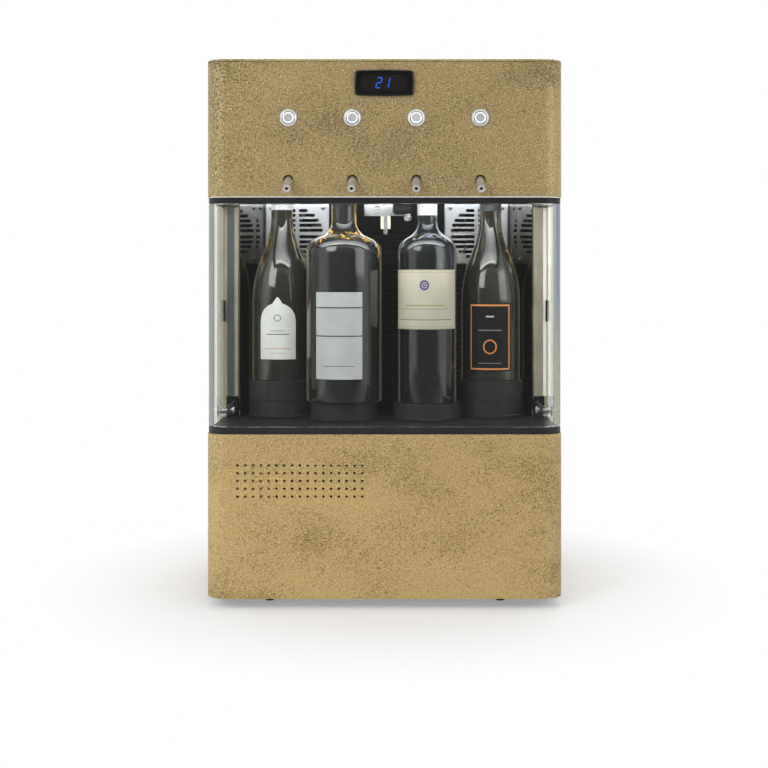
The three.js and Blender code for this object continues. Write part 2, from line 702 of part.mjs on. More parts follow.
// A double comb: cold fins behind the fans and hot fins towards the rear window.
function coolingUnit() {
  const { halfWidth, height, web, coldFin, hotFin, fin, spacing } = cooler;
  const coldRoot = coolerFront + coldFin;
  const hotRoot = coldRoot + web;
  const fins = Math.floor((2 * halfWidth - fin) / spacing);
  const start = -fins * spacing / 2;
  const cold = [];
  const hot = [];
  for (let i = 0; i <= fins; i += 1) {
    const left = start + i * spacing - fin / 2;
    const right = left + fin;
    cold.push([left, coldRoot], [left, coolerFront], [right, coolerFront], [right, coldRoot]);
    hot.push([left, hotRoot], [left, hotRoot + hotFin], [right, hotRoot + hotFin], [right, hotRoot]);
  }
  const plan = polygon([
    [-halfWidth, coldRoot],
    ...cold,
    [halfWidth, coldRoot],
    [halfWidth, hotRoot],
    ...hot.reverse(),
    [-halfWidth, hotRoot],
  ]);
  const high = bayTop - fit;
  return piece('cooling_unit', solid(raised(plan, high - height, high)), aluminium());
}

// Head

function headPlatePiece() {
  const plate = solid(raised(cabinetPlan(deck.inset), bayTop, plateTop));
  const { frontRail, openingCorner } = headPlate;
  const mouthShape = roundedRectangle(-headOpeningHalf, headOpeningHalf, frontRail, coolerFront, openingCorner);
  const opening = solid(raised(mouthShape, bayTop - overrun, plateTop + overrun, 2));
  return piece('head_plate', cut(plate, [opening]), blackPaint());
}

function ceilingSheet() {
  const sheet = solid(raised(cabinetPlan(cabinet.sheet + fit), headBottom, ceilingTop));
  const length = head.ceiling + 2 * overrun;
  const holes = bottles.map(({ x, depth }) => solid(
    new THREE.CylinderGeometry(mouth.holeRadius, mouth.holeRadius, length, smallSteps)
      .rotateX(Math.PI / 2).translate(x, depth, headBottom + head.ceiling / 2),
  ));
  return piece('ceiling_sheet', cut(sheet, holes), steel());
}

function ledStrip() {
  const half = headOpeningHalf - led.sideMargin;
  const front = headPlate.frontRail + led.fromRail;
  const body = block([-half, half], [front, front + led.width], [innerTop - led.thickness, innerTop]);
  return piece('led_strip', solid(body), paleLight());
}

function headCasing() {
  const shell = solid(raised(wrapPlan(), headBottom, headTop));
  const through = cabinet.sheet + overrun;
  const halfBody = control.width / 2 - control.bodyInset + fit;
  const halfHeight = control.height / 2 - control.bodyInset + fit;
  const holes = [solid(block(
    [-halfBody, halfBody],
    [-overrun, through],
    [controlZ - halfHeight, controlZ + halfHeight],
  ))];
  const sleeveHole = button.rimRadius - button.lip + fit;
  const spoutHole = spout.radius + spout.holeGap;
  for (const x of bottlePlaces) {
    holes.push(solid(boreBack(x, buttonZ, sleeveHole, -overrun, through, buttonSteps)));
    holes.push(solid(boreBack(x, spoutZ, spoutHole, -overrun, through)));
  }
  return piece('head_casing', cut(shell, holes), goldPaint());
}

function headLid() {
  const { lid, lidLip, lidLipWall, lidRound } = head;
  const lipPlan = cabinetPlan(cabinet.sheet + fit);
  lipPlan.holes.push(cabinetPlan(cabinet.sheet + fit + lidLipWall));
  const bevelled = new THREE.ExtrudeGeometry(cabinetPlan(lidRound), {
    depth: lid - lidRound,
    bevelEnabled: true,
    bevelSegments: 1,
    bevelThickness: lidRound,
    bevelSize: lidRound,
    curveSegments: arcSteps,
  }).translate(0, 0, lidBottom);
  const above = block([-halfCabinet, halfCabinet], [0, cabinetDepth], [lidBottom, lidBottom + lid + overrun]);
  const plate = solid(bevelled).intersect(solid(above));
  const lip = solid(raised(lipPlan, headTop - lidLip, lidBottom + lid / 2));
  return piece('head_lid', plate.add(lip), goldPaint());
}

function controller() {
  const { width, height, proud, bulge, corner, bodyInset, bodyDepth: length } = control;
  const halfX = width / 2;
  const halfZ = height / 2;
  const face = new THREE.Shape();
  face.moveTo(-halfX + bulge + corner, -halfZ);
  face.lineTo(halfX - bulge - corner, -halfZ);
  face.quadraticCurveTo(halfX - bulge, -halfZ, halfX - bulge / 2, -halfZ + corner);
  face.quadraticCurveTo(halfX + bulge / 4, 0, halfX - bulge / 2, halfZ - corner);
  face.quadraticCurveTo(halfX - bulge, halfZ, halfX - bulge - corner, halfZ);
  face.lineTo(-halfX + bulge + corner, halfZ);
  face.quadraticCurveTo(-halfX + bulge, halfZ, -halfX + bulge / 2, halfZ - corner);
  face.quadraticCurveTo(-halfX - bulge / 4, 0, -halfX + bulge / 2, -halfZ + corner);
  face.quadraticCurveTo(-halfX + bulge, -halfZ, -halfX + bulge + corner, -halfZ);
  const screenX = halfX - display.sideMargin;
  const screenZ = halfZ - display.edgeMargin;
  const screen = roundedRectangle(-screenX, screenX, -screenZ, screenZ, display.corner);
  const bezel = cut(
    solid(runBack(face, -proud, -fit, 3)),
    [solid(runBack(screen, -proud - overrun, -proud + display.recess, 2))],
  );
  const box = solid(block(
    [bodyInset - halfX, halfX - bodyInset],
    [-proud / 2, length],
    [bodyInset - halfZ, halfZ - bodyInset],
  ));
  return piece('controller', bezel.add(box), glossBlack(), [0, 0, controlZ]);
}

function buttonBezels() {
  const { rimRadius, proud, round, lip, wall, length } = button;
  const sleeveRadius = rimRadius - lip;
  const boreRadius = sleeveRadius - wall;
  const profile = [
    [boreRadius, -proud],
    [rimRadius - round, -proud],
    [rimRadius, -proud + round],
    [rimRadius, -fit],
    [sleeveRadius, -fit],
    [sleeveRadius, length],
    [boreRadius, length],
    [boreRadius, -proud],
  ];
  return bottlePlaces.map((x, i) =>
    piece(`button_bezel_${i + 1}`, solid(turnedBack(profile, buttonSteps)), steel(), [x, 0, buttonZ]));
}

function buttonCaps() {
  const radius = button.rimRadius - button.lip - button.wall - fit;
  const front = -button.proud + cap.recess;
  const back = front + cap.length;
  const profile = [
    [0, front],
    [radius - cap.edge, front],
    [radius, front + cap.edge],
    [radius, back],
    [0, back],
  ];
  return bottlePlaces.map((x, i) =>
    piece(`button_cap_${i + 1}`, solid(turnedBack(profile, buttonSteps)), steel(), [x, 0, buttonZ]));
}

// Spouts slope down through the head casing; each inner end stops short of the valve block.
function spouts() {
  const { radius, wall, reach, edge } = spout;
  const inner = (valves.front - fit - radius * Math.sin(slope)) / Math.cos(slope);
  const boreRadius = radius - wall;
  const profile = [
    [boreRadius, -reach],
    [radius - edge, -reach],
    [radius, -reach + edge],
    [radius, inner],
    [boreRadius, inner],
    [boreRadius, -reach],
  ];
  return bottlePlaces.map((x, i) => {
    const tube = piece(`spout_${i + 1}`, solid(turnedBack(profile, buttonSteps)), steel(), [x, 0, spoutZ]);
    tube.rotation.x = slope;
    return tube;
  });
}

// A bar on two feet behind the spouts, with a valve coil over each spout.
function valveBank() {
  const { front, depth, low, height, overhang, coilRadius, buttonGap, neck } = valves;
  const half = bottlePlaces[3] + overhang;
  const bottom = headBottom + low;
  const top = bottom + height;
  const coilTop = buttonZ - button.rimRadius + button.lip - buttonGap;
  const along = [front, front + depth];
  const bar = solid(block([-half, half], along, [bottom, top]));
  const legs = [-1, 1].map((side) =>
    solid(block(span(side, half - overhang / 2, half), along, [ceilingTop + fit, bottom + neck])));
  const profile = [
    [0, top - neck],
    [coilRadius, top - neck],
    [coilRadius, coilTop - neck],
    [neck, coilTop - neck],
    [neck, coilTop],
    [0, coilTop],
  ];
  const coils = bottlePlaces.map((x) =>
    solid(turned(profile, smallSteps).translate(x, front + depth / 2, 0)));
  return piece('valve_bank', joined([bar, ...legs, ...coils]), aluminium());
}

// Bracket under the ceiling with a hanging tongue, its keeper and the temperature sensor.
function sensorBracket() {
  const { width, height, depth, sheet, tongue, tongueDrop, keeper, lip } = bracket;
  const top = innerTop;
  const front = frontRow.depth - depth / 2;
  const profile = polygon([
    [front, top],
    [front + depth, top],
    [front + depth, top - sheet],
    [front + sheet, top - sheet],
    [front + sheet, top - height + sheet],
    [front + lip, top - height + sheet],
    [front + lip, top - height],
    [front, top - height],
  ]);
  const plate = solid(runAcross(profile, -width / 2, width / 2));
  const blade = solid(block(
    [-tongue / 2, tongue / 2],
    [front - sheet, front + sheet / 2],
    [top - height - tongueDrop, top - sheet],
  ));
  const probe = solid(block(
    [-sensor.width / 2, sensor.width / 2],
    [front - sheet / 2, front + sensor.depth],
    [top - height - sensor.drop - sensor.height, top - height + sheet / 2],
  ));
  const clamp = solid(block(
    [-tongue, tongue],
    [front - sheet, front + keeper],
    [top - 2 * sheet, top - sheet / 2],
  ));
  return piece('sensor_bracket', joined([plate, blade, probe, clamp]), steel());
}

// An elbow: a lying barrel with its stem in the ceiling and its outlet pointing down.
function gasFitting() {
  const { radius, length, stemRadius, outletRadius, nutLip, fromCentre, outletDrop, axisDrop } = elbow;
  const depth = frontRow.depth - bracket.depth / 2 - radius - fit;
  const axis = innerTop - axisDrop;
  const column = (centre, size, low, high, sides) => solid(
    new THREE.CylinderGeometry(size, size, high - low, sides)
      .rotateX(Math.PI / 2).translate(centre, depth, (low + high) / 2),
  );
  const outletX = fromCentre + length - outletRadius;
  const body = joined([
    solid(boreAcross(depth, axis, radius, fromCentre, fromCentre + length)),
    column(fromCentre + radius, stemRadius, axis, innerTop, smallSteps),
    column(outletX, outletRadius, axis - outletDrop, axis, smallSteps),
    column(outletX, outletRadius + nutLip, axis - outletDrop, axis - radius - nutLip, holeSteps),
  ]);
  return piece('gas_fitting', body, satinBlack());
}

// Cover: a clear U-shaped sheet on two sliding arms

function coverShell() {
  const { depth, sheet, inset, block: blockWidth, blockLow, blockHeight, blockLength } = cover;
  const corner = cabinet.corner - inset;
  const centre = coverHalfWidth - corner;
  const inner = corner - sheet;
  const quarter = Math.PI / 2;
  const plan = new THREE.Shape();
  plan.moveTo(coverHalfWidth, depth);
  plan.absarc(centre, inset + corner, corner, 0, -quarter, true);
  plan.absarc(-centre, inset + corner, corner, -quarter, -2 * quarter, true);
  plan.lineTo(-coverHalfWidth, depth);
  plan.lineTo(-coverInner, depth);
  plan.absarc(-centre, inset + corner, inner, 2 * quarter, 3 * quarter);
  plan.absarc(centre, inset + corner, inner, 3 * quarter, 4 * quarter);
  plan.lineTo(coverInner, depth);
  plan.closePath();
  const parts = [solid(raised(plan, bayBottom, bayTop - fit))];
  const bores = [];
  const low = deckTop + blockLow;
  for (const side of [-1, 1]) {
    parts.push(solid(block(
      span(side, coverInner - blockWidth, coverInner + sheet / 2),
      [arm.boltDepth - blockLength / 2, arm.boltDepth + blockLength / 2],
      [low, low + blockHeight],
    )));
    const [left, right] = span(side, blockInner - overrun, coverInner);
    bores.push(solid(boreAcross(arm.boltDepth, boltZ, bolt.radius + fit, left, right)));
  }
  return piece('cover_shell', cut(joined(parts), bores), clear());
}

// Each arm is a flat bar with a round front end, and carries the bolt that holds the cover.
function coverArms() {
  const round = arm.height / 2;
  const back = arm.boltDepth + arm.length;
  const profile = new THREE.Shape();
  profile.moveTo(back, boltZ - round);
  profile.lineTo(back, boltZ + round);
  profile.absarc(arm.boltDepth, boltZ, round, Math.PI / 2, Math.PI * 1.5);
  profile.closePath();
  const headInner = coverInner - bolt.reach;
  return bothSides('cover_arm', (name, side) => {
    const bar = solid(runAcross(profile, ...span(side, armInner, armOuter), 5));
    const shaft = span(side, headInner, coverInner - fit);
    const cheese = span(side, headInner, headInner + bolt.headLength);
    const pin = solid(boreAcross(arm.boltDepth, boltZ, bolt.radius, ...shaft));
    const boltHead = solid(boreAcross(arm.boltDepth, boltZ, bolt.headRadius, ...cheese));
    return piece(name, joined([bar, pin, boltHead]), blackPaint());
  });
}

// Bottles with their stands and pouring heads

const bottles = [
  { ...outerBottle, shares: slopingShares, x: -rearX, depth: rearRow.depth, tiers: 2 },
  { ...magnum, shares: fullShares, x: -frontX, depth: frontRow.depth, tiers: 1 },
  { ...slimBottle, shares: fullShares, x: frontX, depth: frontRow.depth + frontRow.slimSetBack, tiers: 1 },
  { ...outerBottle, shares: slopingShares, x: rearX, depth: rearRow.depth, tiers: 2 },
];

function riserHeight(tiers) {
  return riser.height + (tiers - 1) * riser.tier;
}

function seatRadius() {
  return riser.flangeRadius - riser.lip - riser.wall;
}

function fitsSeat(radius) {
  return radius + fit < seatRadius();
}

function bottleBase({ radius, tiers }) {
  const top = deckTop + fit + riserHeight(tiers);
  return fitsSeat(radius) ? top - riser.seat + fit : top + fit;
}

// Glass and wine in one turned solid, with a bore for the stopper and its dip tube.
function bottlePiece(bottle, number) {
  const { radius, neckRadius, bead, neck, shoulder, shares, x, depth } = bottle;
  const low = bottleBase(bottle);
  const neckStart = mouthZ - neck;
  const bodyEnd = neckStart - shoulder;
  const curve = new THREE.CubicBezierCurve(
    new THREE.Vector2(radius, bodyEnd),
    new THREE.Vector2(radius, bodyEnd + shoulder * shares.low),
    new THREE.Vector2(neckRadius, neckStart - shoulder * shares.high),
    new THREE.Vector2(neckRadius, neckStart),
  );
  const side = curve.getPoints(5).map((point) => [point.x, point.y]);
  const tubeBore = mouth.tubeRadius + mouth.tubeGap;
  const boreLow = low + punt.depth + mouth.tubeStop - mouth.tubeGap;
  const top = mouthZ - fit;
  const profile = [
    [0, low + punt.depth],
    [radius * punt.widthShare, low],
    [radius - punt.heel, low],
    [radius, low + punt.heel],
    ...side,
    [neckRadius, top - collar.height - collar.taper],
    [neckRadius + bead, top - collar.height],
    [neckRadius + bead, top],
    [mouth.corkRadius, top],
    [mouth.corkRadius, mouthZ - mouth.corkDepth],
    [tubeBore, mouthZ - mouth.corkDepth],
    [tubeBore, boreLow],
    [0, boreLow],
  ];
  return piece(`bottle_${number}`, solid(turned(profile)), darkGlass(), [x, depth, 0]);
}

// Stopper, dip tube and hose barb in one turned solid.
function bottleHead(bottle, number) {
  const { flangeRadius, flange, bodyRadius, body, barbRadius, barb, taper } = stopper;
  const tubeLow = bottleBase(bottle) + punt.depth + mouth.tubeStop;
  const plugLow = mouthZ - mouth.corkDepth + mouth.tubeGap;
  const plugRadius = mouth.corkRadius - fit;
  const bodyTop = mouthZ + flange + body;
  const profile = [
    [0, tubeLow],
    [mouth.tubeRadius, tubeLow],
    [mouth.tubeRadius, plugLow],
    [plugRadius - taper, plugLow],
    [plugRadius, mouthZ],
    [flangeRadius, mouthZ],
    [flangeRadius, mouthZ + flange],
    [bodyRadius, mouthZ + flange],
    [bodyRadius - taper, bodyTop],
    [barbRadius, bodyTop],
    [barbRadius, bodyTop + barb],
    [0, bodyTop + barb],
  ];
  const place = [bottle.x, bottle.depth, 0];
  return piece(`bottle_head_${number}`, solid(turned(profile, smallSteps)), satinBlack(), place);
}

// A round stand with a flange at its foot; the outer bottles stand on two tiers.
function bottleRiser(bottle, number) {
  const { flangeRadius, flange, lip, height, seam, seat } = riser;
  const bodyRadius = flangeRadius - lip;
  const low = deckTop + fit;
  const top = low + riserHeight(bottle.tiers);
  const rim = seatRadius();
  const profile = [[0, low], [flangeRadius, low], [flangeRadius, low + flange], [bodyRadius, low + flange]];
  if (bottle.tiers > 1) {
    profile.push([bodyRadius, low + height - seam], [bodyRadius - seam, low + height]);
    profile.push([bodyRadius, low + height + seam]);
  }
  profile.push([bodyRadius, top - seam], [bodyRadius - seam, top]);
  if (fitsSeat(bottle.radius)) {
    profile.push([rim, top], [rim, top - seat], [0, top - seat]);
  } else {
    profile.push([0, top]);
  }
  const place = [bottle.x, bottle.depth, 0];
  return piece(`riser_${number}`, solid(turned(profile)), satinBlack(), place);
}

// Assembly

const machine = new THREE.Group();
machine.position.y = frontY;
machine.add(
  ...feet(), basePlate(), baseCasing(), powerSupply(), gasRegulator(), powerInlet(), rearPanel(),
  deckPlate(), middleCasing(), ...jambs(), ...sideLiners(), bayBackPanel(),
  ...fanGrilles(), ...fanFrames(), ...fanRotors(), coolingUnit(),
  headPlatePiece(), ceilingSheet(), ledStrip(), headCasing(), headLid(),
  controller(), ...buttonBezels(), ...buttonCaps(), ...spouts(), valveBank(),
  sensorBracket(), gasFitting(), coverShell(), ...coverArms(),
);
bottles.forEach((bottle, i) => {
  machine.add(bottlePiece(bottle, i + 1), bottleHead(bottle, i + 1), bottleRiser(bottle, i + 1));
});

const part = new THREE.Group();
part.name = 'wine_preservation_dispenser';
part.add(machine);

export default part;
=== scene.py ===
# %% [markdown]
# # A wine preservation dispenser, dressed for its picture
#
# The machine keeps four open bottles under gas and cools them. Two golden
# casings hold a lit bay between black plates, a clear cover closes the bay, and
# four buttons work four short spouts. The solids are already packed, so this
# script loads them as a fixed frame, puts finer surfaces over the plain ones
# and gives every piece a finish.

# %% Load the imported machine
import json
import math

import bmesh
import bpy
import numpy as np
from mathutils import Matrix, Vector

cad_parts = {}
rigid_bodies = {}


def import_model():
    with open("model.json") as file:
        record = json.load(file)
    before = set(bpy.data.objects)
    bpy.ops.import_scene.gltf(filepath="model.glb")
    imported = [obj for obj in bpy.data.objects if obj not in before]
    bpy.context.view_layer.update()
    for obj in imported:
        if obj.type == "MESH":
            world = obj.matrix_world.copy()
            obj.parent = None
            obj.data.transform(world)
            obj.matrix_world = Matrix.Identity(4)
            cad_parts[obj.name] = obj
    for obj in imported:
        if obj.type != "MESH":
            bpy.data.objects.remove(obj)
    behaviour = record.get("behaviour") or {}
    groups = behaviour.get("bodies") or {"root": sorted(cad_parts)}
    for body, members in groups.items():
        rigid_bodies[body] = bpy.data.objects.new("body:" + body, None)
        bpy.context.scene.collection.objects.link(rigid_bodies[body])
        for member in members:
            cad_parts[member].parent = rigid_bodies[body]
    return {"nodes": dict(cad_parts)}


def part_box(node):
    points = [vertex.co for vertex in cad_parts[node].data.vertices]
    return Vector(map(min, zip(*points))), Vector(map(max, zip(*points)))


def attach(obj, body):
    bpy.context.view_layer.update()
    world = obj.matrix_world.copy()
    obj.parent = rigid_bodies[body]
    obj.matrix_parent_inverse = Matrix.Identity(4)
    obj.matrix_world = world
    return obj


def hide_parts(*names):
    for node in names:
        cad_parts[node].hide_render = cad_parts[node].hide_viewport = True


for thing in list(bpy.data.objects):
    bpy.data.objects.remove(thing)
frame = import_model()
bpy.context.view_layer.update()

# %% [markdown]
# ## One ruler for every piece
#
# A maker thinks of this machine in millimetres from its front sheet, so every
# shape below is worked out as across, depth and height in millimetres. One
# function turns whole arrays of such points into metres in the frame, which
# keeps the numbers in the cells the same as on a drawing.

# %% Millimetres to the frame
MM = 0.001
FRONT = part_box("base_casing")[0].y
ACROSS, DEEP, HIGH = 0, 1, 2


def placed(points):
    """Points of (across, depth, height) in mm as metres, moved back to the front sheet."""
    return np.asarray(points, float).reshape(-1, 3) * MM + (0, FRONT, 0)


def extent(node, way):
    """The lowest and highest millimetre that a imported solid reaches, one way."""
    corners = (np.array(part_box(node), float) - (0, FRONT, 0)) / MM
    return corners[0][way].round(2), corners[1][way].round(2)


HALF = extent("base_casing", ACROSS)[1]
REAR = extent("base_casing", DEEP)[1]
BASE_LOW, BASE_HIGH = extent("base_casing", HIGH)
DECK_LOW, DECK_HIGH = extent("deck_plate", HIGH)
BAY_LOW, BAY_HIGH = extent("middle_casing", HIGH)
PLATE_LOW, PLATE_HIGH = extent("head_plate", HIGH)
HEAD_LOW, HEAD_HIGH = extent("head_casing", HIGH)
LID_HIGH = extent("head_lid", HIGH)[1]
print("half width", HALF, "depth", REAR, "bay", BAY_LOW, BAY_HIGH, "top", LID_HIGH)

# %% [markdown]
# ## The camera
#
# The picture was taken from straight in front, a little above the middle of the
# machine. A camera turned by hand would need its angles guessed. A level camera
# with a small shift keeps every upright of the cabinet upright, as the picture
# does, and only its height, distance and shift have to be known.

# %% Camera


def in_scene(name, data):
    """A new object that holds a mesh, a lamp or a camera, linked to the scene."""
    made = bpy.data.objects.new(name, data)
    bpy.context.collection.objects.link(made)
    return made


eye = bpy.data.cameras.new("eye")
eye.lens = 63.75
eye.sensor_width = 36
eye.shift_x = -0.0339
eye.shift_y = -0.15625
camera = in_scene("camera", eye)
AWAY, EYE_HIGH = 1.7, 0.4318
camera.location = (0.0322, FRONT - AWAY, EYE_HIGH)
camera.rotation_euler = (math.radians(90), 0, 0)
bpy.context.scene.camera = camera
bpy.context.scene.view_settings.view_transform = "Standard"
print("camera", tuple(camera.location), "lens", eye.lens)

# %% [markdown]
# ## Shader sums as plain Python
#
# A finish is a recipe: this much grain, that much wear, dark where both meet.
# Wiring nodes by hand hides the recipe. A small class around one socket lets
# ordinary sums and products add the Math nodes, and the recipe stays readable.

# %% A socket that can be added and multiplied


class Amount:
    """One output of a node. Plus, minus, times and abs on it add Math nodes."""

    def __init__(self, recipe, socket):
        self.recipe = recipe
        self.socket = socket

    def __add__(self, other):
        return self.recipe.math("ADD", self, other)

    def __sub__(self, other):
        return self.recipe.math("SUBTRACT", self, other)

    def __rsub__(self, other):
        return self.recipe.math("SUBTRACT", other, self)

    def __mul__(self, other):
        return self.recipe.math("MULTIPLY", self, other)

    def __abs__(self):
        return self.recipe.math("ABSOLUTE", self)

    __radd__ = __add__
    __rmul__ = __mul__


print("sums ready")

# %% [markdown]
# ## One method for every node
#
# The same few patterns come back in every finish: smooth noise, a slope between
# two values, a mix of two colours, a bump. Each is a short method here, and all
# of them go through one method that makes any node, so that the wiring is
# written only once.

# %% Recipes and colours


class Recipe:
    """A finish in the making: a material or a world, its nodes and the patterns they share."""

    def __init__(self, owner, place="Object"):
        self.owner = bpy.data.materials.new(owner) if isinstance(owner, str) else owner
        self.owner.use_nodes = True
        self.tree = self.owner.node_tree
        self.tree.nodes.clear()
        self.place = self.node("ShaderNodeTexCoord", output=place)

    def node(self, kind, settings=(), sockets=(), output=0):
        """Any node: its settings first, a ramp's stops among them, then its sockets."""
        made = self.tree.nodes.new(kind)
        for key, value in dict(settings).items():
            if key == "stops":
                ramp = made.color_ramp
                while len(ramp.elements) < len(value):
                    ramp.elements.new(1)
                for stop, (where, colour) in zip(ramp.elements, value):
                    stop.position = where
                    stop.color = colour
            else:
                setattr(made, key, value)
        for key, value in dict(sockets).items():
            if isinstance(value, Amount):
                self.tree.links.new(value.socket, made.inputs[key])
            else:
                made.inputs[key].default_value = value
        return Amount(self, made.outputs[output])

    def math(self, operation, *values):
        """One Math node over one to three values."""
        return self.node("ShaderNodeMath", {"operation": operation}, dict(enumerate(values)))

    def noise(self, scale, detail=2, stretch=(1, 1, 1), turn=(0, 0, 0), distortion=0):
        """Smooth noise, scale in lumps per metre, squeezed by stretch and turned by turn."""
        where = self.node("ShaderNodeMapping", {}, {0: self.place, 2: turn, 3: stretch})
        sockets = {"Vector": where, "Scale": scale, "Detail": detail, "Distortion": distortion}
        return self.node("ShaderNodeTexNoise", {}, sockets)

    def between(self, value, low, high):
        """0 below low, 1 above high and an even slope in between."""
        return self.node("ShaderNodeMapRange", {"clamp": True}, {0: value, 1: low, 2: high})

    def ramp(self, value, *stops):
        """A colour for each value, from stops of (value, colour)."""
        return self.node("ShaderNodeValToRGB", {"stops": stops}, {0: value})

    def mix(self, share, first, second):
        """The first colour where share is 0 and the second where it is 1."""
        return self.node("ShaderNodeMix", {"data_type": "RGBA"}, {0: share, 6: first, 7: second}, 2)

    def mix_shaders(self, share, first, second):
        """The first shader where share is 0 and the second where it is 1."""
        return self.node("ShaderNodeMixShader", {}, {0: share, 1: first, 2: second})

    def axis(self, name, source=None):
        """One coordinate of the object's own place in metres, or of another vector."""
        return self.node("ShaderNodeSeparateXYZ", {}, {0: source or self.place}, name)

    def ray(self, kind):
        """1 for rays of one kind, such as Camera or Shadow, and 0 for all others."""
        return self.node("ShaderNodeLightPath", output=f"Is {kind} Ray")

    def bump(self, height, strength, distance):
        """A Bump node over a height; distance is in metres."""
        sockets = {"Height": height, "Strength": strength, "Distance": distance}
        return self.node("ShaderNodeBump", {}, sockets)

    def principled(self, **sockets):
        """The Principled shader; a word pair such as Coat_Weight names its socket."""
        named = {key.replace("_", " "): value for key, value in sockets.items()}
        return self.node("ShaderNodeBsdfPrincipled", {}, named)

    def send(self, surface, kind="Material"):
        """Joins a shader to the output and hands over the finished material or world."""
        made = self.tree.nodes.new(f"ShaderNodeOutput{kind}")
        self.tree.links.new(surface.socket, made.inputs[0])
        return self.owner

    def coat(self, **sockets):
        """A finished material that is the Principled shader alone."""
        return self.send(self.principled(**sockets))


print("recipes ready")

# %% [markdown]
# ## Colours as they are seen
#
# A colour picked on a screen is not the light that a shader counts with: the
# screen spends more of its steps on dark tones. So every colour below is
# written as the screen shows it and turned into light by one function. A
# second one makes the darker or lighter tone that grain and wear are mixed in.

# %% Colours


def tone(red, green, blue):
    """A colour as a screen shows it, 0 to 255, as the linear light that shaders use."""
    screen = np.array([red, green, blue]) / 255
    light = np.where(screen <= 0.04045, screen / 12.92, ((screen + 0.055) / 1.055) ** 2.4)
    return (*light.tolist(), 1.0)


def shade(colour, share, more=0.0):
    """A darker or lighter colour: each part times share, plus more, and 1 at the most."""
    return (*(min(1.0, part * share + more) for part in colour[:3]), 1.0)


print("middle grey is", round(tone(128, 128, 128)[0], 3), "of full light")

# %% [markdown]
# ## The golden lacquer
#
# The casings wear a hammered bronze lacquer. Seen close it is light grain, with brown-black pits
# that gather in drifting bands. A picture of it would repeat, so the colour comes from four noises:
# grain and sand of one or two millimetres, a crackle of a few millimetres whose highest spots are
# the pits, and a drift as long as a hand that decides how many pits there are. The same pits sink
# in the bump and dull the shine. Painted light is mixed into the colour too: a painted highlight on
# the crests of the grain, and a lighter, warmer tone towards the bottom.

# %% Golden lacquer


def golden_lacquer():
    recipe = Recipe("golden_lacquer")
    grain = recipe.noise(560, 2)
    sand = recipe.noise(900, 2, distortion=0.8)
    drift = recipe.noise(9, 2, stretch=(1, 1, 1.6), turn=(0, 0.7, 0))
    crackle = recipe.noise(400, 4, stretch=(1, 1, 1.25), distortion=1.2)
    gold = recipe.ramp(
        grain * 0.6 + sand * 0.4,
        (0.36, tone(138, 117, 76)),
        (0.46, tone(168, 145, 98)),
        (0.54, tone(184, 160, 110)),
        (0.64, tone(212, 190, 136)),
    )
    crest = recipe.between(grain * 0.5 + sand * 0.5, 0.565, 0.65)
    pits = recipe.between(crackle + drift * 0.40, 0.75, 0.86)
    # Painted light: the casing is painted lighter and warmer towards the bottom.
    lower_painted_light = recipe.between(recipe.axis("Z"), 0.40, 0.15)
    warm = recipe.mix(lower_painted_light * 0.45, gold, tone(198, 168, 106))
    # Painted highlight: where the grain crests, its colour is mixed lighter, as if it caught the
    # light.
    bright = recipe.mix(crest * 0.55, warm, tone(238, 218, 168))
    height = grain * 0.55 + sand * 0.35 + crest * 0.3 - pits * 0.8
    return recipe.coat(
        Base_Color=recipe.mix(pits * 0.6, bright, tone(76, 62, 38)),
        Metallic=0.35,
        Roughness=0.40 + pits * 0.3,
        Normal=recipe.bump(height, 0.75, 0.0008),
    )


gold = golden_lacquer()
print("made", gold.name)

# %% [markdown]
# ## Black plates and plain metals
#
# The two plates that hold the bay are sheet steel with a satin charcoal coat, faintly speckled. The
# other metals differ in how bright and how brushed they are, so one function makes them all: a
# metal colour, a brush direction that stretches the noise, and how rough the brushing leaves the
# surface. The fan guards alone are smooth, and their colour carries painted light: warmer low down
# and painted bright at the top, close under the light strip.

# %% Satin coats and metals


def satin_coat(name, colour, roughness, grain=900, wear=0.25, shine=0.0, mirror=0.25):
    """A coat with a fine speckle, slightly worn, under a clear coat where shine is given."""
    recipe = Recipe(name)
    speckle = recipe.noise(grain, 3)
    smudge = recipe.noise(22, 3)
    share = recipe.between(speckle * 0.6 + smudge * 0.4, 0.42, 0.66) * wear * 2
    return recipe.coat(
        Base_Color=recipe.mix(share, colour, shade(colour, 1.7, 0.006)),
        Roughness=roughness + (smudge - 0.5) * roughness * 0.6,
        IOR=1.5,
        Specular_IOR_Level=mirror,
        Coat_Weight=shine,
        Coat_Roughness=0.06,
        Normal=recipe.bump(speckle, 0.12 if roughness > 0.2 else 0.02, 0.0003),
    )


def brushed_metal(name, colour, roughness, brush=(1, 1, 1), depth=0.1, metal=1.0):
    """A metal whose fine lines run along the axis that brush squeezes least."""
    recipe = Recipe(name)
    lines = recipe.noise(700, 2, stretch=brush)
    smudge = recipe.noise(30, 3)
    share = recipe.between(smudge * 0.6 + lines * 0.4, 0.4, 0.66)
    return recipe.coat(
        Base_Color=recipe.mix(share, shade(colour, 0.72), colour),
        Metallic=metal,
        Roughness=roughness * (1 + (smudge - 0.5) * 0.7 + (lines - 0.5) * 0.4),
        Normal=recipe.bump(lines, depth, 0.0002),
    )


def guard_finish():
    """Smooth pressed steel with painted light: bright at the top near the light strip, warmer low
    down.
    """
    recipe = Recipe("guard_steel")
    grain = recipe.noise(700, 2)
    smudge = recipe.noise(30, 3)
    # Painted light: the steel is painted brighter towards the top, under the light strip.
    high = recipe.between(recipe.axis("Z") + (smudge - 0.5) * 0.02, 0.43, 0.50)
    colour = recipe.mix(high, tone(190, 184, 178), tone(240, 242, 246))
    return recipe.coat(
        Base_Color=recipe.mix(grain * 0.1, colour, tone(150, 150, 150)),
        Metallic=0.5,
        Roughness=0.32 * (1 + (smudge - 0.5) * 0.7),
        Normal=recipe.bump(grain, 0.006, 0.0002),
    )


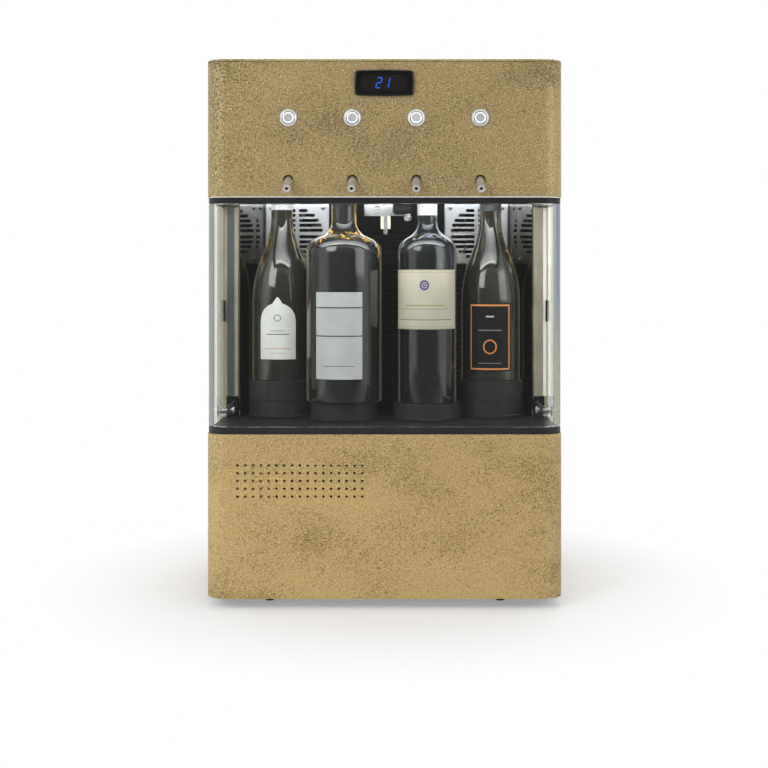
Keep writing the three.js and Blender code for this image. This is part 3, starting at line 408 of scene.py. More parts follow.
charcoal = satin_coat("charcoal_plate", tone(34, 35, 36), 0.4)
panel_black = satin_coat("dark_panel", tone(46, 47, 48), 0.5)
steel = brushed_metal("brushed_steel", tone(208, 210, 211), 0.22, (1, 1, 0.12), metal=0.85)
guard_steel = guard_finish()
mirror = brushed_metal("bright_steel", tone(222, 226, 232), 0.13, (0.1, 1, 1), depth=0.04)
trim = brushed_metal("satin_trim", tone(206, 195, 174), 0.34, (1, 1, 0.06), metal=0.7)
raw = brushed_metal("raw_aluminium", tone(186, 188, 190), 0.4, (1, 1, 0.2))
print("made", [m.name for m in (charcoal, panel_black, steel, guard_steel, mirror, trim, raw)])

# %% [markdown]
# ## Mouldings, gloss sheets, rubber and light
#
# Polished sheet at the sides of the bay mirrors the fan guards, and the rest of it is satin black
# moulding. The controller's case is gloss plastic, which is a clear coat over a dark base: it
# mirrors without turning the base to metal. Lit pieces glow by themselves, a little unevenly, so
# that their mirror images do too. The ceiling sheet is no lamp: its glow is painted light, bright
# near its back and front edges and dim over the bottles.

# %% Dark and glowing finishes


def glowing(name, colour, power, patch=60):
    """A lit surface whose light is a little uneven, in so many patches per metre."""
    recipe = Recipe(name)
    uneven = recipe.noise(patch, 2)
    lit = recipe.mix(recipe.between(uneven, 0.35, 0.6), shade(colour, 0.8), colour)
    return recipe.coat(
        Base_Color=lit, Roughness=0.5 + uneven * 0.1, Emission_Color=lit, Emission_Strength=power
    )


def lit_ceiling():
    """A sheet with a painted glow: bright at the back, less so at the front, and dim over the
    bottles.
    """
    recipe = Recipe("ceiling_light")
    uneven = recipe.noise(25, 2)
    y = recipe.axis("Y") + uneven * 0.01
    # Painted light: these two masks set where the ceiling sheet glows bright.
    at_back, at_front = recipe.between(y, -0.018, 0.01), recipe.between(y, -0.095, -0.12)
    bright = recipe.math("MAXIMUM", at_back, at_front * 0.85)
    lit = recipe.mix(bright, tone(52, 53, 55), tone(246, 249, 255))
    return recipe.coat(
        Base_Color=lit, Roughness=0.5 + uneven * 0.1, Emission_Color=lit, Emission_Strength=2.6
    )


moulding = satin_coat("black_moulding", tone(13, 13, 13), 0.36, grain=1500, mirror=0.12)
stand_black = satin_coat("stand_moulding", tone(38, 39, 38), 0.45, grain=1300)
gloss = brushed_metal("polished_sheet", tone(176, 174, 168), 0.05, (1, 1, 0.1), depth=0.01)
case_gloss = satin_coat("case_gloss", tone(15, 16, 18), 0.2, grain=1200, wear=0.1, shine=0.35)
rubber = satin_coat("foot_rubber", tone(26, 26, 25), 0.75, grain=1800)
strip_light = glowing("strip_light", tone(255, 252, 244), 4)
ceiling_light = lit_ceiling()
dot_light = glowing("dot_light", tone(255, 255, 255), 14)
print("made", [m.name for m in (moulding, stand_black, gloss, case_gloss, rubber)])
print("lit", [m.name for m in (strip_light, ceiling_light, dot_light)])

# %% [markdown]
# ## The clear cover
#
# The cover is one bent acrylic sheet. Alpha would show it without its bent
# corners, where the sheet gathers light into bright upright lines, so it is
# made as real clear matter with its own thickness, and bends the light. The
# lamps' shadow rays pass straight on, because the bay behind must stay lit.

# %% Clear acrylic


def clear_acrylic():
    recipe = Recipe("clear_acrylic")
    dust = recipe.noise(900, 2)
    haze = recipe.noise(14, 3)
    clear = recipe.principled(
        Base_Color=recipe.mix(
            recipe.between(haze, 0.3, 0.7), tone(246, 250, 247), tone(252, 253, 252)
        ),
        Roughness=recipe.between(dust * 0.7 + haze * 0.3, 0.56, 0.8) * 0.012,
        IOR=1.49,
        Specular_IOR_Level=0.12,
        Transmission_Weight=1.0,
    )
    passing = recipe.node("ShaderNodeBsdfTransparent", {}, {0: (0.96, 0.98, 0.97, 1)})
    return recipe.send(recipe.mix_shaders(recipe.ray("Shadow"), clear, passing))


acrylic = clear_acrylic()
print("made", acrylic.name)

# %% [markdown]
# ## Dark bottle glass
#
# The glass of full red-wine bottles looks nearly black, and all that is seen of it is gloss. It
# gets a dark base under a clear coat, with faint long streaks down its side that the glass maker's
# mould leaves. Real glass also gathers the light behind it: a thin line just inside the rim, and
# amber glints where the shoulder has less wine behind it. A dark base can't gather light, so these
# two are painted highlights: a lighter colour that also glows a little.

# %% Bottle glass


def bottle_glass(name, deep, thin, warm):
    """Dark glass between a deep and a thin tone, with a painted rim line and painted glints, the
    glints in their own tone.
    """
    recipe = Recipe(name)
    high = recipe.axis("Z")
    streak = recipe.noise(60, 2, stretch=(1, 1, 0.05))
    orange_peel = recipe.noise(130, 2)
    glint = recipe.noise(70, 3, stretch=(1, 1, 0.35), distortion=1.5)
    rim = recipe.node("ShaderNodeLayerWeight", {}, {0: 0.5}, "Facing")
    body = recipe.mix(recipe.between(streak, 0.35, 0.7), deep, thin)
    neck = recipe.between(high, 0.455, 0.5)
    shoulder = recipe.between(high, 0.42, 0.45)
    # Painted highlights: a thin bright line inside the rim and amber glints on the shoulder, in the
    # colour and in a faint glow.
    line = recipe.between(rim, 0.58, 0.68) * recipe.between(rim, 0.88, 0.76)
    lit = recipe.between(glint, 0.53, 0.65) * shoulder * recipe.between(rim, 0.3, 0.6)
    body_with_painted_rim = recipe.mix(line * (0.45 + neck * 0.3), body, tone(120, 116, 102))
    painted_rim_glow = recipe.mix(line * (0.5 + glint * 0.5), tone(0, 0, 0), tone(92, 88, 76))
    return recipe.coat(
        Base_Color=recipe.mix(lit * 0.8, body_with_painted_rim, warm),
        Roughness=0.05 + orange_peel * 0.04,
        IOR=1.52,
        Coat_Weight=1.0,
        Coat_Roughness=0.02,
        Emission_Color=recipe.mix(lit * recipe.between(rim, 0.4, 0.6), painted_rim_glow, warm),
        Emission_Strength=0.5,
        Normal=recipe.bump(orange_peel, 0.05, 0.0008),
    )


olive_glass = bottle_glass("olive_glass", tone(26, 26, 21), tone(44, 42, 33), tone(204, 164, 52))
smoke_glass = bottle_glass("smoke_glass", tone(14, 15, 15), tone(30, 31, 28), tone(196, 150, 56))
night_glass = bottle_glass("night_glass", tone(8, 9, 11), tone(20, 23, 27), tone(126, 134, 150))
print("made", olive_glass.name, smoke_glass.name, night_glass.name)

# %% [markdown]
# ## From arrays to a mesh
#
# Every new surface below is a grid of points, worked out as whole arrays, and a
# rule for joining the points. One function puts both into a mesh, welds seams
# and poles, and turns the faces outwards. Doing it once here means that no
# piece can forget one of these steps.

# %% Mesh helpers


def grid_faces(rows, columns, wrap_rows=False, wrap_columns=False):
    """Faces of a grid: each point, its neighbour in the row, and the same two one row on."""
    r = np.arange(rows if wrap_rows else rows - 1)
    c = np.arange(columns if wrap_columns else columns - 1)
    r, c = np.meshgrid(r, c, indexing="ij")
    down, right = (r + 1) % rows, (c + 1) % columns
    corners = [r * columns + c, r * columns + right, down * columns + right, down * columns + c]
    return np.stack(corners, -1).reshape(-1, 4).tolist()


def together(*shapes):
    """Several (points, faces) shapes as one, the later ones' numbers moved up."""
    points, faces, start = [], [], 0
    for shape_points, shape_faces in shapes:
        points.append(np.asarray(shape_points, float).reshape(-1, 3))
        faces += [[i + start for i in face] for face in shape_faces]
        start += len(points[-1])
    return np.concatenate(points), faces


def mesh_of(name, shape):
    """The mesh of one closed shape, welded, with its faces turned outwards."""
    points, faces = shape
    mesh = bpy.data.meshes.new(name)
    mesh.from_pydata(placed(points).tolist(), [], [list(face) for face in faces])
    work = bmesh.new()
    work.from_mesh(mesh)
    bmesh.ops.remove_doubles(work, verts=work.verts, dist=0.000002)
    bmesh.ops.dissolve_degenerate(work, edges=work.edges, dist=0.000001)
    bmesh.ops.recalc_face_normals(work, faces=work.faces)
    work.to_mesh(mesh)
    work.free()
    return mesh


print("mesh helpers ready")

# %% [markdown]
# ## From a mesh to a piece
#
# A piece gets its holes first, then its broken edges, and its shading last, because each step reads
# the mesh that the one before it leaves. The modifiers are worked in at once, so that every
# finished piece is a plain mesh. Last, the piece is hung on the body it rides on, and the solid it
# stands for is hidden.

# %% Pieces


def finished(thing):
    """Works the modifiers into the thing's mesh, and leaves none of them on it."""
    bpy.context.view_layer.update()
    seen = thing.evaluated_get(bpy.context.evaluated_depsgraph_get())
    mesh = bpy.data.meshes.new_from_object(seen)
    thing.modifiers.clear()
    old, thing.data = thing.data, mesh
    bpy.data.meshes.remove(old)


def dressed(thing, finish, slot, body="cabinet", sharp=40, lean=50, instead_of=None):
    """A new piece is shaded, gets its finish and rides on a body; slot is not used.

    The shading of each corner leans towards its larger faces, at 100 on the largest
    alone, so that a flat face stays flat up to its rounded edge.
    """
    faces = thing.data.polygons
    faces.foreach_set("use_smooth", [True] * len(faces))
    thing.data.set_sharp_from_angle(angle=math.radians(sharp))
    if lean:
        flats = thing.modifiers.new("flats", "WEIGHTED_NORMAL")
        flats.weight = lean
        flats.keep_sharp = True
        finished(thing)
    thing.data.materials.clear()
    thing.data.materials.append(finish)
    if instead_of:
        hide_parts(instead_of)
    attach(thing, body)
    return thing


def put(name, shape, finish, slot, cutters=None, round_off=0, **manner):
    """A shape becomes a named piece: holes cut, and edges rounded off by so many mm."""
    thing = in_scene(name, mesh_of(name, shape))
    if cutters is not None:
        tool = in_scene("cutter", mesh_of("cutter", cutters))
        cut = thing.modifiers.new("holes", "BOOLEAN")
        cut.operation = "DIFFERENCE"
        cut.solver = "EXACT"
        cut.object = tool
    if round_off:
        edge = thing.modifiers.new("edges", "BEVEL")
        edge.width = round_off * MM
        edge.segments = 2
        edge.limit_method = "ANGLE"
        edge.angle_limit = math.radians(40)
    if thing.modifiers:
        finished(thing)
    if cutters is not None:
        bpy.data.objects.remove(tool)
    return dressed(thing, finish, slot, **manner)


print("pieces ready")

# %% [markdown]
# ## Plans
#
# Sheet is bent round corners, so a plan is a walk with a radius at each turn.
# Besides its points it keeps the way outwards at each, because that is the way
# in which a sheet has its thickness. Outlines of holes are closed plans too.

# %% Plans and outlines


def plan_of(corners, closed=False, steps=10):
    """Points and outward normals of a plan walked with its inside on the left.

    Each corner is (x, y, radius). Where the walk turns, the corner becomes an arc
    of that radius that touches both sides: point = arc centre + radius * direction.
    """
    spots = np.array([c[:2] for c in corners], float)
    points, normals = [], []
    for i, corner in enumerate(corners):
        radius = max(corner[2], 0.01)
        before = spots[i] - spots[i - 1]
        after = spots[(i + 1) % len(spots)] - spots[i]
        if not closed and i == 0:
            before = after
        if not closed and i == len(spots) - 1:
            after = before
        before, after = before / np.hypot(*before), after / np.hypot(*after)
        turn = math.atan2(before[0] * after[1] - before[1] * after[0], before @ after)
        start = math.atan2(-before[0], before[1])
        turns = abs(turn) > 0.01
        angles = start + np.linspace(0, turn, steps if turns else 1)
        ways = np.stack([np.cos(angles), np.sin(angles)], -1)
        side = math.copysign(1, turn)
        leg = radius * abs(math.tan(turn / 2))
        centre = spots[i] - before * leg - side * ways[0] * radius
        points.append(centre + side * ways * radius if turns else spots[i][None])
        normals.append(ways)
    return np.concatenate(points), np.concatenate(normals)


def slab(left, right, low, high, corner, steps=6):
    """The outline of a rounded rectangle."""
    corners = [(x, y, corner) for x, y in ((left, low), (right, low), (right, high), (left, high))]
    return plan_of(corners, closed=True, steps=steps)[0]


def quarter(middle, reach, steps=5):
    """A quarter turn: point = middle + reach * (cos a, sin a), with a from 0 to 90 degrees."""
    a = np.linspace(0, np.pi / 2, steps)
    return np.add(middle, np.multiply(reach, np.stack([np.cos(a), np.sin(a)], -1)))


def disc(x, y, radius, steps=32):
    """The outline of a round hole."""
    a = np.linspace(0, 2 * np.pi, steps, endpoint=False)
    return np.stack([x + radius * np.cos(a), y + radius * np.sin(a)], -1)


def rounded(section, radius=0.5, steps=3):
    """The same closed outline with each corner cut to a small arc."""
    return plan_of([(x, y, radius) for x, y in section], closed=True, steps=steps)[0]


def sheet_section(low, high, thick, radius=0.5):
    """The cut end of a sheet that stands from low to high, its edges broken."""
    return rounded([(0, high), (thick, high), (thick, low), (0, low)], radius)


print("plans ready")

# %% [markdown]
# ## Three ways to sweep a section
#
# Nearly everything here was bent, turned or sawn: sheet bent round a plan,
# parts turned on a lathe, and openings cut straight through. So there are three
# sweeps. `carried` takes a section along a plan, `turned` takes a profile round
# an axis, and `prism` pushes an outline straight through, mostly to cut holes.

# %% Sweeps
VIEWER = (0, -1, 0)


def carried(plan, section, closed=False, ring=True):
    """A section of (inset, height) carried along a plan.

    point = plan point - normal * inset, at that height. An open plan is closed by
    its two end sections. Where ring is false the section is the edge of a solid
    plate, and the plate's two faces close it.
    """
    points, normals = plan
    section = np.asarray(section, float)
    flat = points[:, None] - normals[:, None] * section[None, :, :1]
    heights = np.broadcast_to(section[None, :, 1:], (*flat.shape[:2], 1))
    rows, columns = flat.shape[:2]
    faces = grid_faces(rows, columns, closed, ring)
    firsts = [i * columns for i in range(rows)]
    if not closed:
        faces += [list(range(columns)), [firsts[-1] + i for i in range(columns)]]
    if not ring:
        faces += [firsts, [i + columns - 1 for i in firsts]]
    return np.concatenate([flat, heights], -1), faces


def plate(plan, edge):
    """A solid plate: the section of its edge carried right round a closed plan."""
    return carried(plan, edge, closed=True, ring=False)


def turned(profile, centre, along=(0, 0, 1), steps=64, ring=False):
    """A profile of (radius, distance) taken round an axis.

    point = centre + along * distance + radius * (side * cos a + up * sin a).
    """
    profile = np.asarray(profile, float)
    along = np.asarray(along, float) / np.linalg.norm(along)
    side = np.cross(along, (0.0, 1.0, 0.0) if abs(along[1]) < 0.9 else (1.0, 0.0, 0.0))
    side /= np.linalg.norm(side)
    up = np.cross(along, side)
    angle = np.linspace(0, 2 * np.pi, steps, endpoint=False)[None, :, None]
    out = np.cos(angle) * side + np.sin(angle) * up
    axis = np.asarray(centre, float) + profile[:, 1, None, None] * along
    return axis + profile[:, 0, None, None] * out, grid_faces(len(profile), steps, ring, True)


def prism(outline, low, high, along="depth"):
    """An outline pushed straight through from low to high, with both ends closed.

    Along depth the outline is (across, height), and along height it is (across, depth).
    """
    outline = np.asarray(outline, float)
    count = len(outline)
    ends = np.broadcast_to(np.array([low, high], float)[:, None, None], (2, count, 1))
    flat = np.broadcast_to(outline[None], (2, count, 2))
    order = (0, 2, 1) if along == "depth" else (0, 1, 2)
    caps = [list(range(count)), list(range(count, 2 * count))]
    return np.concatenate([flat, ends], -1)[..., order], grid_faces(2, count, False, True) + caps


def facing(profile, x, z, steps, ring=True, deep=0):
    """A profile turned round an axis that points at the viewer."""
    return turned(profile, (x, deep, z), VIEWER, steps, ring)


def stood_up(shape):
    """A plate that lay flat now faces the front: its depth and height change places."""
    points, faces = shape
    return points[..., [0, 2, 1]], faces


def sideways(shape, side):
    """A prism that ran back now runs across, on the left (-1) or on the right (1)."""
    points, faces = shape
    return points[..., [1, 0, 2]] * (side, 1, 1), faces


print("sweeps ready")

# %% [markdown]
# ## The golden casings
#
# Both casings are one sheet of steel bent round the plan, with flanges behind.
# A box with rounded edges would be solid and show no edge of sheet at the
# holes. Carrying the sheet's cut end along the bent plan gives the real wall,
# and the holes are then drilled through its front, where their rims show the
# sheet's two millimetres.

# %% Base casing, middle casing, head casing
CORNER, SHEET, FLANGE = 25, 2, HALF - 43
AXES = (-120, -40, 40, 120)
BUTTON_HIGH = 614.6
VENT_PITCH, VENT_LEFT, VENT_TOP = 9.75, -183.5, 180
MIDDLE_FRONT, MIDDLE_LIP = 118.3, 15
sides = [(-HALF, REAR, CORNER), (-HALF, 0, CORNER), (HALF, 0, CORNER), (HALF, REAR, CORNER)]
casing_plan = plan_of([(-FLANGE, REAR, 0), *sides, (FLANGE, REAR, 0)], steps=14)


def through_front(outlines):
    """Cutters that push every outline through the front sheet."""
    return together(*(prism(outline, -3, 6) for outline in outlines))


vent_columns = VENT_LEFT + VENT_PITCH * np.arange(17)
vent_rows = VENT_TOP - VENT_PITCH * np.arange(5)
vents = through_front(disc(x, z, 1.7, 14) for z in vent_rows for x in vent_columns)
base = put(
    "base_casing_skin", carried(casing_plan, sheet_section(BASE_LOW, BASE_HIGH, SHEET)),
    gold, "gold_paint", cutters=vents, instead_of="base_casing",
)
controller_hole = slab(-35.3, 35.3, 643.7, 672.3, 2)
button_holes = [disc(x, BUTTON_HIGH, 9.7, 40) for x in AXES]
spout_holes = [slab(x - 6.5, x + 6.5, 529.4, 543.5, 6.4, 12) for x in AXES]
head = put(
    "head_casing_skin", carried(casing_plan, sheet_section(HEAD_LOW, HEAD_HIGH, SHEET)),
    gold, "gold_paint", cutters=through_front([controller_hole, *button_holes, *spout_holes]),
    instead_of="head_casing",
)
middle_plan = plan_of([
    (HALF - MIDDLE_LIP, MIDDLE_FRONT, 0), (HALF, MIDDLE_FRONT, 2.5), (HALF, REAR, CORNER),
    (-HALF, REAR, CORNER), (-HALF, MIDDLE_FRONT, 2.5), (MIDDLE_LIP - HALF, MIDDLE_FRONT, 0),
])
cooling_hole = prism(slab(-165, 165, 368, 488, 4), 340, 375)
middle = put(
    "middle_casing_skin", carried(middle_plan, sheet_section(BAY_LOW, BAY_HIGH, SHEET)),
    gold, "gold_paint", cutters=cooling_hole, instead_of="middle_casing",
)
print("casing faces:", [len(thing.data.polygons) for thing in (base, head, middle)])

# %% [markdown]
# ## Lid and plates
#
# The lid is a flat pan turned down into the head casing, and the plates are
# thick sheets with a corner radius a little smaller than the casings'. Each is
# an outline carried round the same plan: the section's last points run inwards
# and the flat faces close it, so the edge can be rounded as finely as wanted.

# %% Lid, deck plate, head plate
LID_EDGE, LID_LOW = 1.2, LID_HIGH - 3
EDGE = HALF - 1


def cabinet_plan(half, front, corner):
    """The closed plan of a plate as wide as the cabinet, or a little less."""
    back = REAR - front
    corners = [(-half, front), (half, front), (half, back), (-half, back)]
    return plan_of([(x, y, corner) for x, y in corners], closed=True, steps=14)


def plate_section(low, high, edge=0.8):
    """The outer edge of a plate from its underside up, with both rims rounded."""
    under = quarter((edge, low + edge), (-edge, -edge), 4)[::-1]
    return [*under, *quarter((edge, high - edge), (-edge, edge), 4)]


lid_rim = quarter((LID_EDGE, LID_HIGH - LID_EDGE), (-LID_EDGE, LID_EDGE))
lid_section = [(2.6, LID_LOW - 8), (2.6, LID_LOW), (0, LID_LOW), *lid_rim]
put(
    "head_lid_skin", plate(cabinet_plan(HALF, 0, CORNER), lid_section), gold, "gold_paint",
    instead_of="head_lid",
)
plate_plan = cabinet_plan(EDGE, 1, 24)
put(
    "deck_plate_skin", plate(plate_plan, plate_section(DECK_LOW, DECK_HIGH)),
    charcoal, "black_plate", instead_of="deck_plate",
)
put(
    "head_plate_skin", plate(plate_plan, plate_section(PLATE_LOW, PLATE_HIGH)),
    charcoal, "black_plate", instead_of="head_plate",
    cutters=prism(slab(-199.5, 199.5, 14, 218.1, 10), 500, 520, "height"),
)
print("lid and plates made")

# %% [markdown]
# ## Cover
#
# The cover is a U of five millimetre acrylic. Its cut edges are polished, which
# is why they show as bright lines, so the section's corners are broken with a
# clear radius. Two acrylic blocks are bonded inside its lower rear corners, and
# the bolts of the arms go through them. A small dark catch magnet sits at each
# rear edge.

# %% Cover with its blocks, catches and arms
SIDES = ((-1, "left"), (1, "right"))
COVER_BACK, COVER_THICK = 118, 5
COVER_IN = EDGE - COVER_THICK
BOLT_DEEP, BOLT_HIGH = 58, np.mean(extent("cover_arm_left", HIGH))
ARM_HALF, ARM_BACK = 7, 238
cover_plan = plan_of(
    [(-EDGE, COVER_BACK, 0), (-EDGE, 1, 24), (EDGE, 1, 24), (EDGE, COVER_BACK, 0)], steps=20
)
put(
    "cover_sheet", carried(cover_plan, sheet_section(BAY_LOW, BAY_HIGH, COVER_THICK, 1.5)),
    acrylic, "clear_cover", body="cover", lean=100, instead_of="cover_shell",
)
rounding = np.linspace(np.pi / 2, 1.5 * np.pi, 12)
nose = np.stack(
    [BOLT_DEEP + ARM_HALF * np.cos(rounding), BOLT_HIGH + ARM_HALF * np.sin(rounding)], -1
)
arm_outline = np.concatenate(
    [nose, [(ARM_BACK, BOLT_HIGH - ARM_HALF), (ARM_BACK, BOLT_HIGH + ARM_HALF)]]
)
bolt_head = [(0, 193.8), (4.3, 193.8), (5, 194.5), (5, 197.3), (3, 197.4), (3, 199.6), (0, 199.6)]
bolt_pin = [(0, 202.8), (2.9, 202.8), (2.9, 217.1), (2.4, 217.5), (0, 217.5)]
for side, word in SIDES:
    block = prism(slab(50, 66, BOLT_HIGH - 6, BOLT_HIGH + 6, 0.8, 3), 203, COVER_IN)
    hole = prism(disc(BOLT_DEEP, BOLT_HIGH, 3.1, 24), 190, 214.4)
    put(
        f"cover_block_{word}", sideways(block, side), acrylic, "clear_cover", body="cover",
        cutters=sideways(hole, side),
    )
    magnet = prism(slab(108, 116, 355.6, 383.7, 0.6, 2), COVER_IN - 3.4, COVER_IN)
    put(
        f"catch_magnet_{word}", sideways(magnet, side), case_gloss, "dark_metal", body="cover",
        round_off=0.4,
    )
    put(
        f"arm_plate_{word}", sideways(prism(arm_outline, 199.7, 202.7), side), panel_black,
        "dark_metal", body="cover", round_off=0.3, instead_of=f"cover_arm_{word}",
    )
    bolt = [
        turned(line, (0, BOLT_DEEP, BOLT_HIGH), (side, 0, 0), 32) for line in (bolt_head, bolt_pin)
    ]
    put(f"arm_bolt_{word}", together(*bolt), steel, "stainless", body="cover")
print("cover made")

# %% [markdown]
# ## Trim at the mouth of the bay
#
# A folded aluminium jamb closes each side behind the cover, and a glossy sheet
# bends inwards from it to the back wall. Both are sheet, so both are a cut end
# carried along a short open plan. The bends get a real radius, which is what
# draws the bright upright lines beside the bottles. A soft strip seals each
# jamb against the cover, and ends in a black foot over the arm.

# %% Jambs, seals and liners
WALL, CEILING = 190.2, 515.5
JAMB, BAY_HALF = HALF - 7, 197
NOTCH = BOLT_HIGH + 8
SEAL_BACK = 116.45
jamb_line = [(-JAMB, 116.5, 0), (-BAY_HALF, 116.5, 1.6), (-BAY_HALF, 121.5, 0)]
liner_line = [(-169, WALL, 0), (-180.5, 170, 14), (-BAY_HALF, 122.5, 0)]
toe = [
    (203.2, 227.7), (212.6, 227.7), (212.6, 255.5), (BAY_HALF, 255.5), (BAY_HALF, NOTCH + 0.1),
    (203.2, NOTCH + 0.1),
]


def upright(name, node, side, line, high, finish, slot, cutters=None):
    """A thin sheet that stands on the deck, bent along a plan that is given for the left."""
    if side > 0:
        line = [(-x, y, radius) for x, y, radius in reversed(line)]
    shape = carried(plan_of(line, steps=8), sheet_section(BAY_LOW, high, 1.5, 0.3))
    put(name, shape, finish, slot, cutters=cutters, instead_of=node)


seal_grey = satin_coat("seal_strip", tone(70, 75, 76), 0.4, grain=700, wear=0.1)
seal_pale = satin_coat("seal_pale", tone(222, 216, 206), 0.4, grain=700, wear=0.1)
seals = ((202.5, 211.5, seal_grey), (210, 216.7, seal_pale))
for (side, word), (near, far, finish) in zip(SIDES, seals):
    notch = sideways(prism(slab(110, 130, 220, NOTCH, 0.1, 2), 190, 203), side)
    name = f"jamb_{word}"
    upright(f"{name}_trim", name, side, jamb_line, BAY_HIGH, trim, "trim_aluminium", notch)
    seal = prism(slab(115.2, SEAL_BACK, NOTCH + 5, BAY_HIGH - 1, 0.4, 3), near, far)
    put(f"seal_strip_{word}", sideways(seal, side), finish, "black_moulding")
    foot = prism(np.array(toe) * (side, 1), 115.1, SEAL_BACK)
    put(f"seal_foot_{word}", foot, moulding, "black_moulding")
for side, word in SIDES:
    name = f"liner_{word}_sheet"
    upright(name, f"bay_liner_{word}", side, liner_line, CEILING, gloss, "gloss_liner")
print("jambs, seals and liners made")

# %% [markdown]
# ## Fan guards
#
# Two pressed steel guards cover the fans. Their slots are long and round-ended,
# in two groups of five rows with a wider web between, and are cut off by a
# circle. Each slot is an outline whose half length follows from the circle:
# the square root of radius squared less height squared.

# %% Guards with their slots
FAN_ACROSS, FAN_HIGH = 124, 474
GUARD_HALF, GUARD_LOW, GUARD_BEND = 44, 431.5, 2.2
SLOT_ROWS = (4.5, 11.5, 18.1, 25.2, 31.8)


def slot_outlines(centre, radius=36.0, thick=4.45, web=4.4):
    """Outlines of every slot of one guard, two to a row, one each side of the web."""
    made = []
    for offset in (*SLOT_ROWS, *(-row for row in SLOT_ROWS)):
        half = math.sqrt(radius**2 - (abs(offset) + thick / 4) ** 2)
        low, high = FAN_HIGH + offset - thick / 2, FAN_HIGH + offset + thick / 2
        for near, far in ((centre - half, centre - web / 2), (centre + web / 2, centre + half)):
            made.append(slab(near, far, low, high, thick / 2 - 0.02, 5))
    return made


def bent(radius, face=WALL - 3.8):
    """A quarter turn of the guard's rim, from its side to its face."""
    return quarter((GUARD_BEND, face), (-radius, -radius))


for side, word in SIDES:
    centre = side * FAN_ACROSS
    corners = [(-GUARD_HALF, GUARD_LOW), (GUARD_HALF, GUARD_LOW), (GUARD_HALF, CEILING)]
    corners += [(-GUARD_HALF, CEILING)]
    plan = plan_of([(centre + x, z, 4) for x, z in corners], closed=True, steps=6)
    pan = plate(plan, [(0, WALL), *bent(GUARD_BEND)])
    hollow = plate(plan, [*bent(GUARD_BEND - 1.2)[::-1], (1.2, WALL), (1.2, WALL + 1.8)])
    slots = [prism(outline, 180, 196) for outline in slot_outlines(centre)]
    made = put(
        f"fan_grille_{word}_plate", stood_up(pan), guard_steel, "stainless",
        cutters=together(stood_up(hollow), *slots), instead_of=f"fan_grille_{word}",
    )
    print(made.name, "faces", len(made.data.polygons))

# %% [markdown]
# ## Screws
#
# The guards are held by four small cross-head screws each. A screw head is a
# low dome turned on the lathe, with a cross-shaped outline cut down into it. A
# painted cross would vanish from the side, and a cut one does not.

# %% Screws of the guards
SCREW_OUT, SCREW_FACE = 35.75, 184.2


def cross_screw(x, z, front, radius=3.3, high=1.5):
    """The head of one screw, facing the front: a dome with radius * cos and high * sin."""
    dome = quarter((0, 0), (radius, high))
    return facing([(0, -0.2), (radius, -0.2), *dome], x, z, 20, ring=False, deep=front)


def cross_cut(x, z, front, arm=1.9, wide=0.7, high=1.5):
    """One cross as a twelve-cornered outline that reaches into the dome from the front."""
    bar = wide / 2
    quarter = np.array([(bar, arm), (bar, bar), (arm, bar)])
    back = quarter[::-1]
    outline = np.concatenate([quarter, back * (1, -1), -quarter, back * (-1, 1)])
    return prism(outline + (x, z), front - 4, front - high * 0.4)


for side, word in SIDES:
    outs = (-SCREW_OUT, SCREW_OUT)
    spots = [(side * FAN_ACROSS + dx, FAN_HIGH + dz) for dx in outs for dz in outs]
    heads = together(*(cross_screw(x, z, SCREW_FACE) for x, z in spots))
    crosses = together(*(cross_cut(x, z, SCREW_FACE) for x, z in spots))
    put(f"guard_screws_{word}", heads, steel, "stainless", cutters=crosses)
print("screws made")

# %% [markdown]
# ## Bottles
#
# A bottle is turned: heel, body, shoulder, neck and lip are one line swung
# round the axis. The shoulder is a cubic curve, a sum of four points weighted by
# how far along the curve one is, because it leaves the body upright and joins
# the neck upright, as blown glass does. The wall is real, with the line running
# back down the inside.

# %% Bottles
MOUTH, WALL_THICK = 572.7, 3.5
HEEL_POINTS, LIP_POINTS = 6, 5
SLOPING = dict(
    depth=141.5, body=40.6, neck=14.6, lip=15.2, base=274.4, side=380, neck_low=497,
    shares=(0.5, 0.42),
)
SQUARE = dict(side=444, neck_low=489, shares=(0.72, 0.62))
BOTTLES = {
    1: dict(SLOPING, x=-141),
    2: dict(SQUARE, x=-55, depth=101, body=50.6, neck=16.6, lip=17.6, base=250.4),
    3: dict(SQUARE, x=55, depth=102, body=39, neck=13, lip=14.8, base=247.4),
    4: dict(SLOPING, x=141),
}


def cubic_curve(points, steps):
    """Four points weighted by (1-t)^3, 3t(1-t)^2, 3t^2(1-t) and t^3, with t from 0 to 1."""
    t = np.linspace(0, 1, steps)[:, None]
    weights = np.concatenate([(1 - t) ** 3, 3 * t * (1 - t) ** 2, 3 * t**2 * (1 - t), t**3], 1)
    return weights @ np.array(points, float)


def bottle_side(spec):
    """The outer line from heel to lip as (radius, height)."""
    body, neck, low, high = spec["body"], spec["neck"], spec["side"], spec["neck_low"]
    out, tall = spec["lip"], high - low
    heel = quarter((body - 4, spec["base"] + 4), (4, -4), HEEL_POINTS)[::-1]
    first, second = spec["shares"]
    shoulder = cubic_curve(
        [(body, low), (body, low + tall * first), (neck, high - tall * second), (neck, high)], 28
    )
    lip = [
        (neck, MOUTH - 9), (out - 0.2, MOUTH - 7.5), (out, MOUTH - 6.5), (out - 0.4, MOUTH - 0.8),
        (out - 1.4, MOUTH),
    ]
    return np.concatenate([heel, shoulder, lip])


def around_bottle(spec, profile, **manner):
    """A profile turned round a bottle's own axis."""
    return turned(profile, (spec["x"], spec["depth"], 0), **manner)


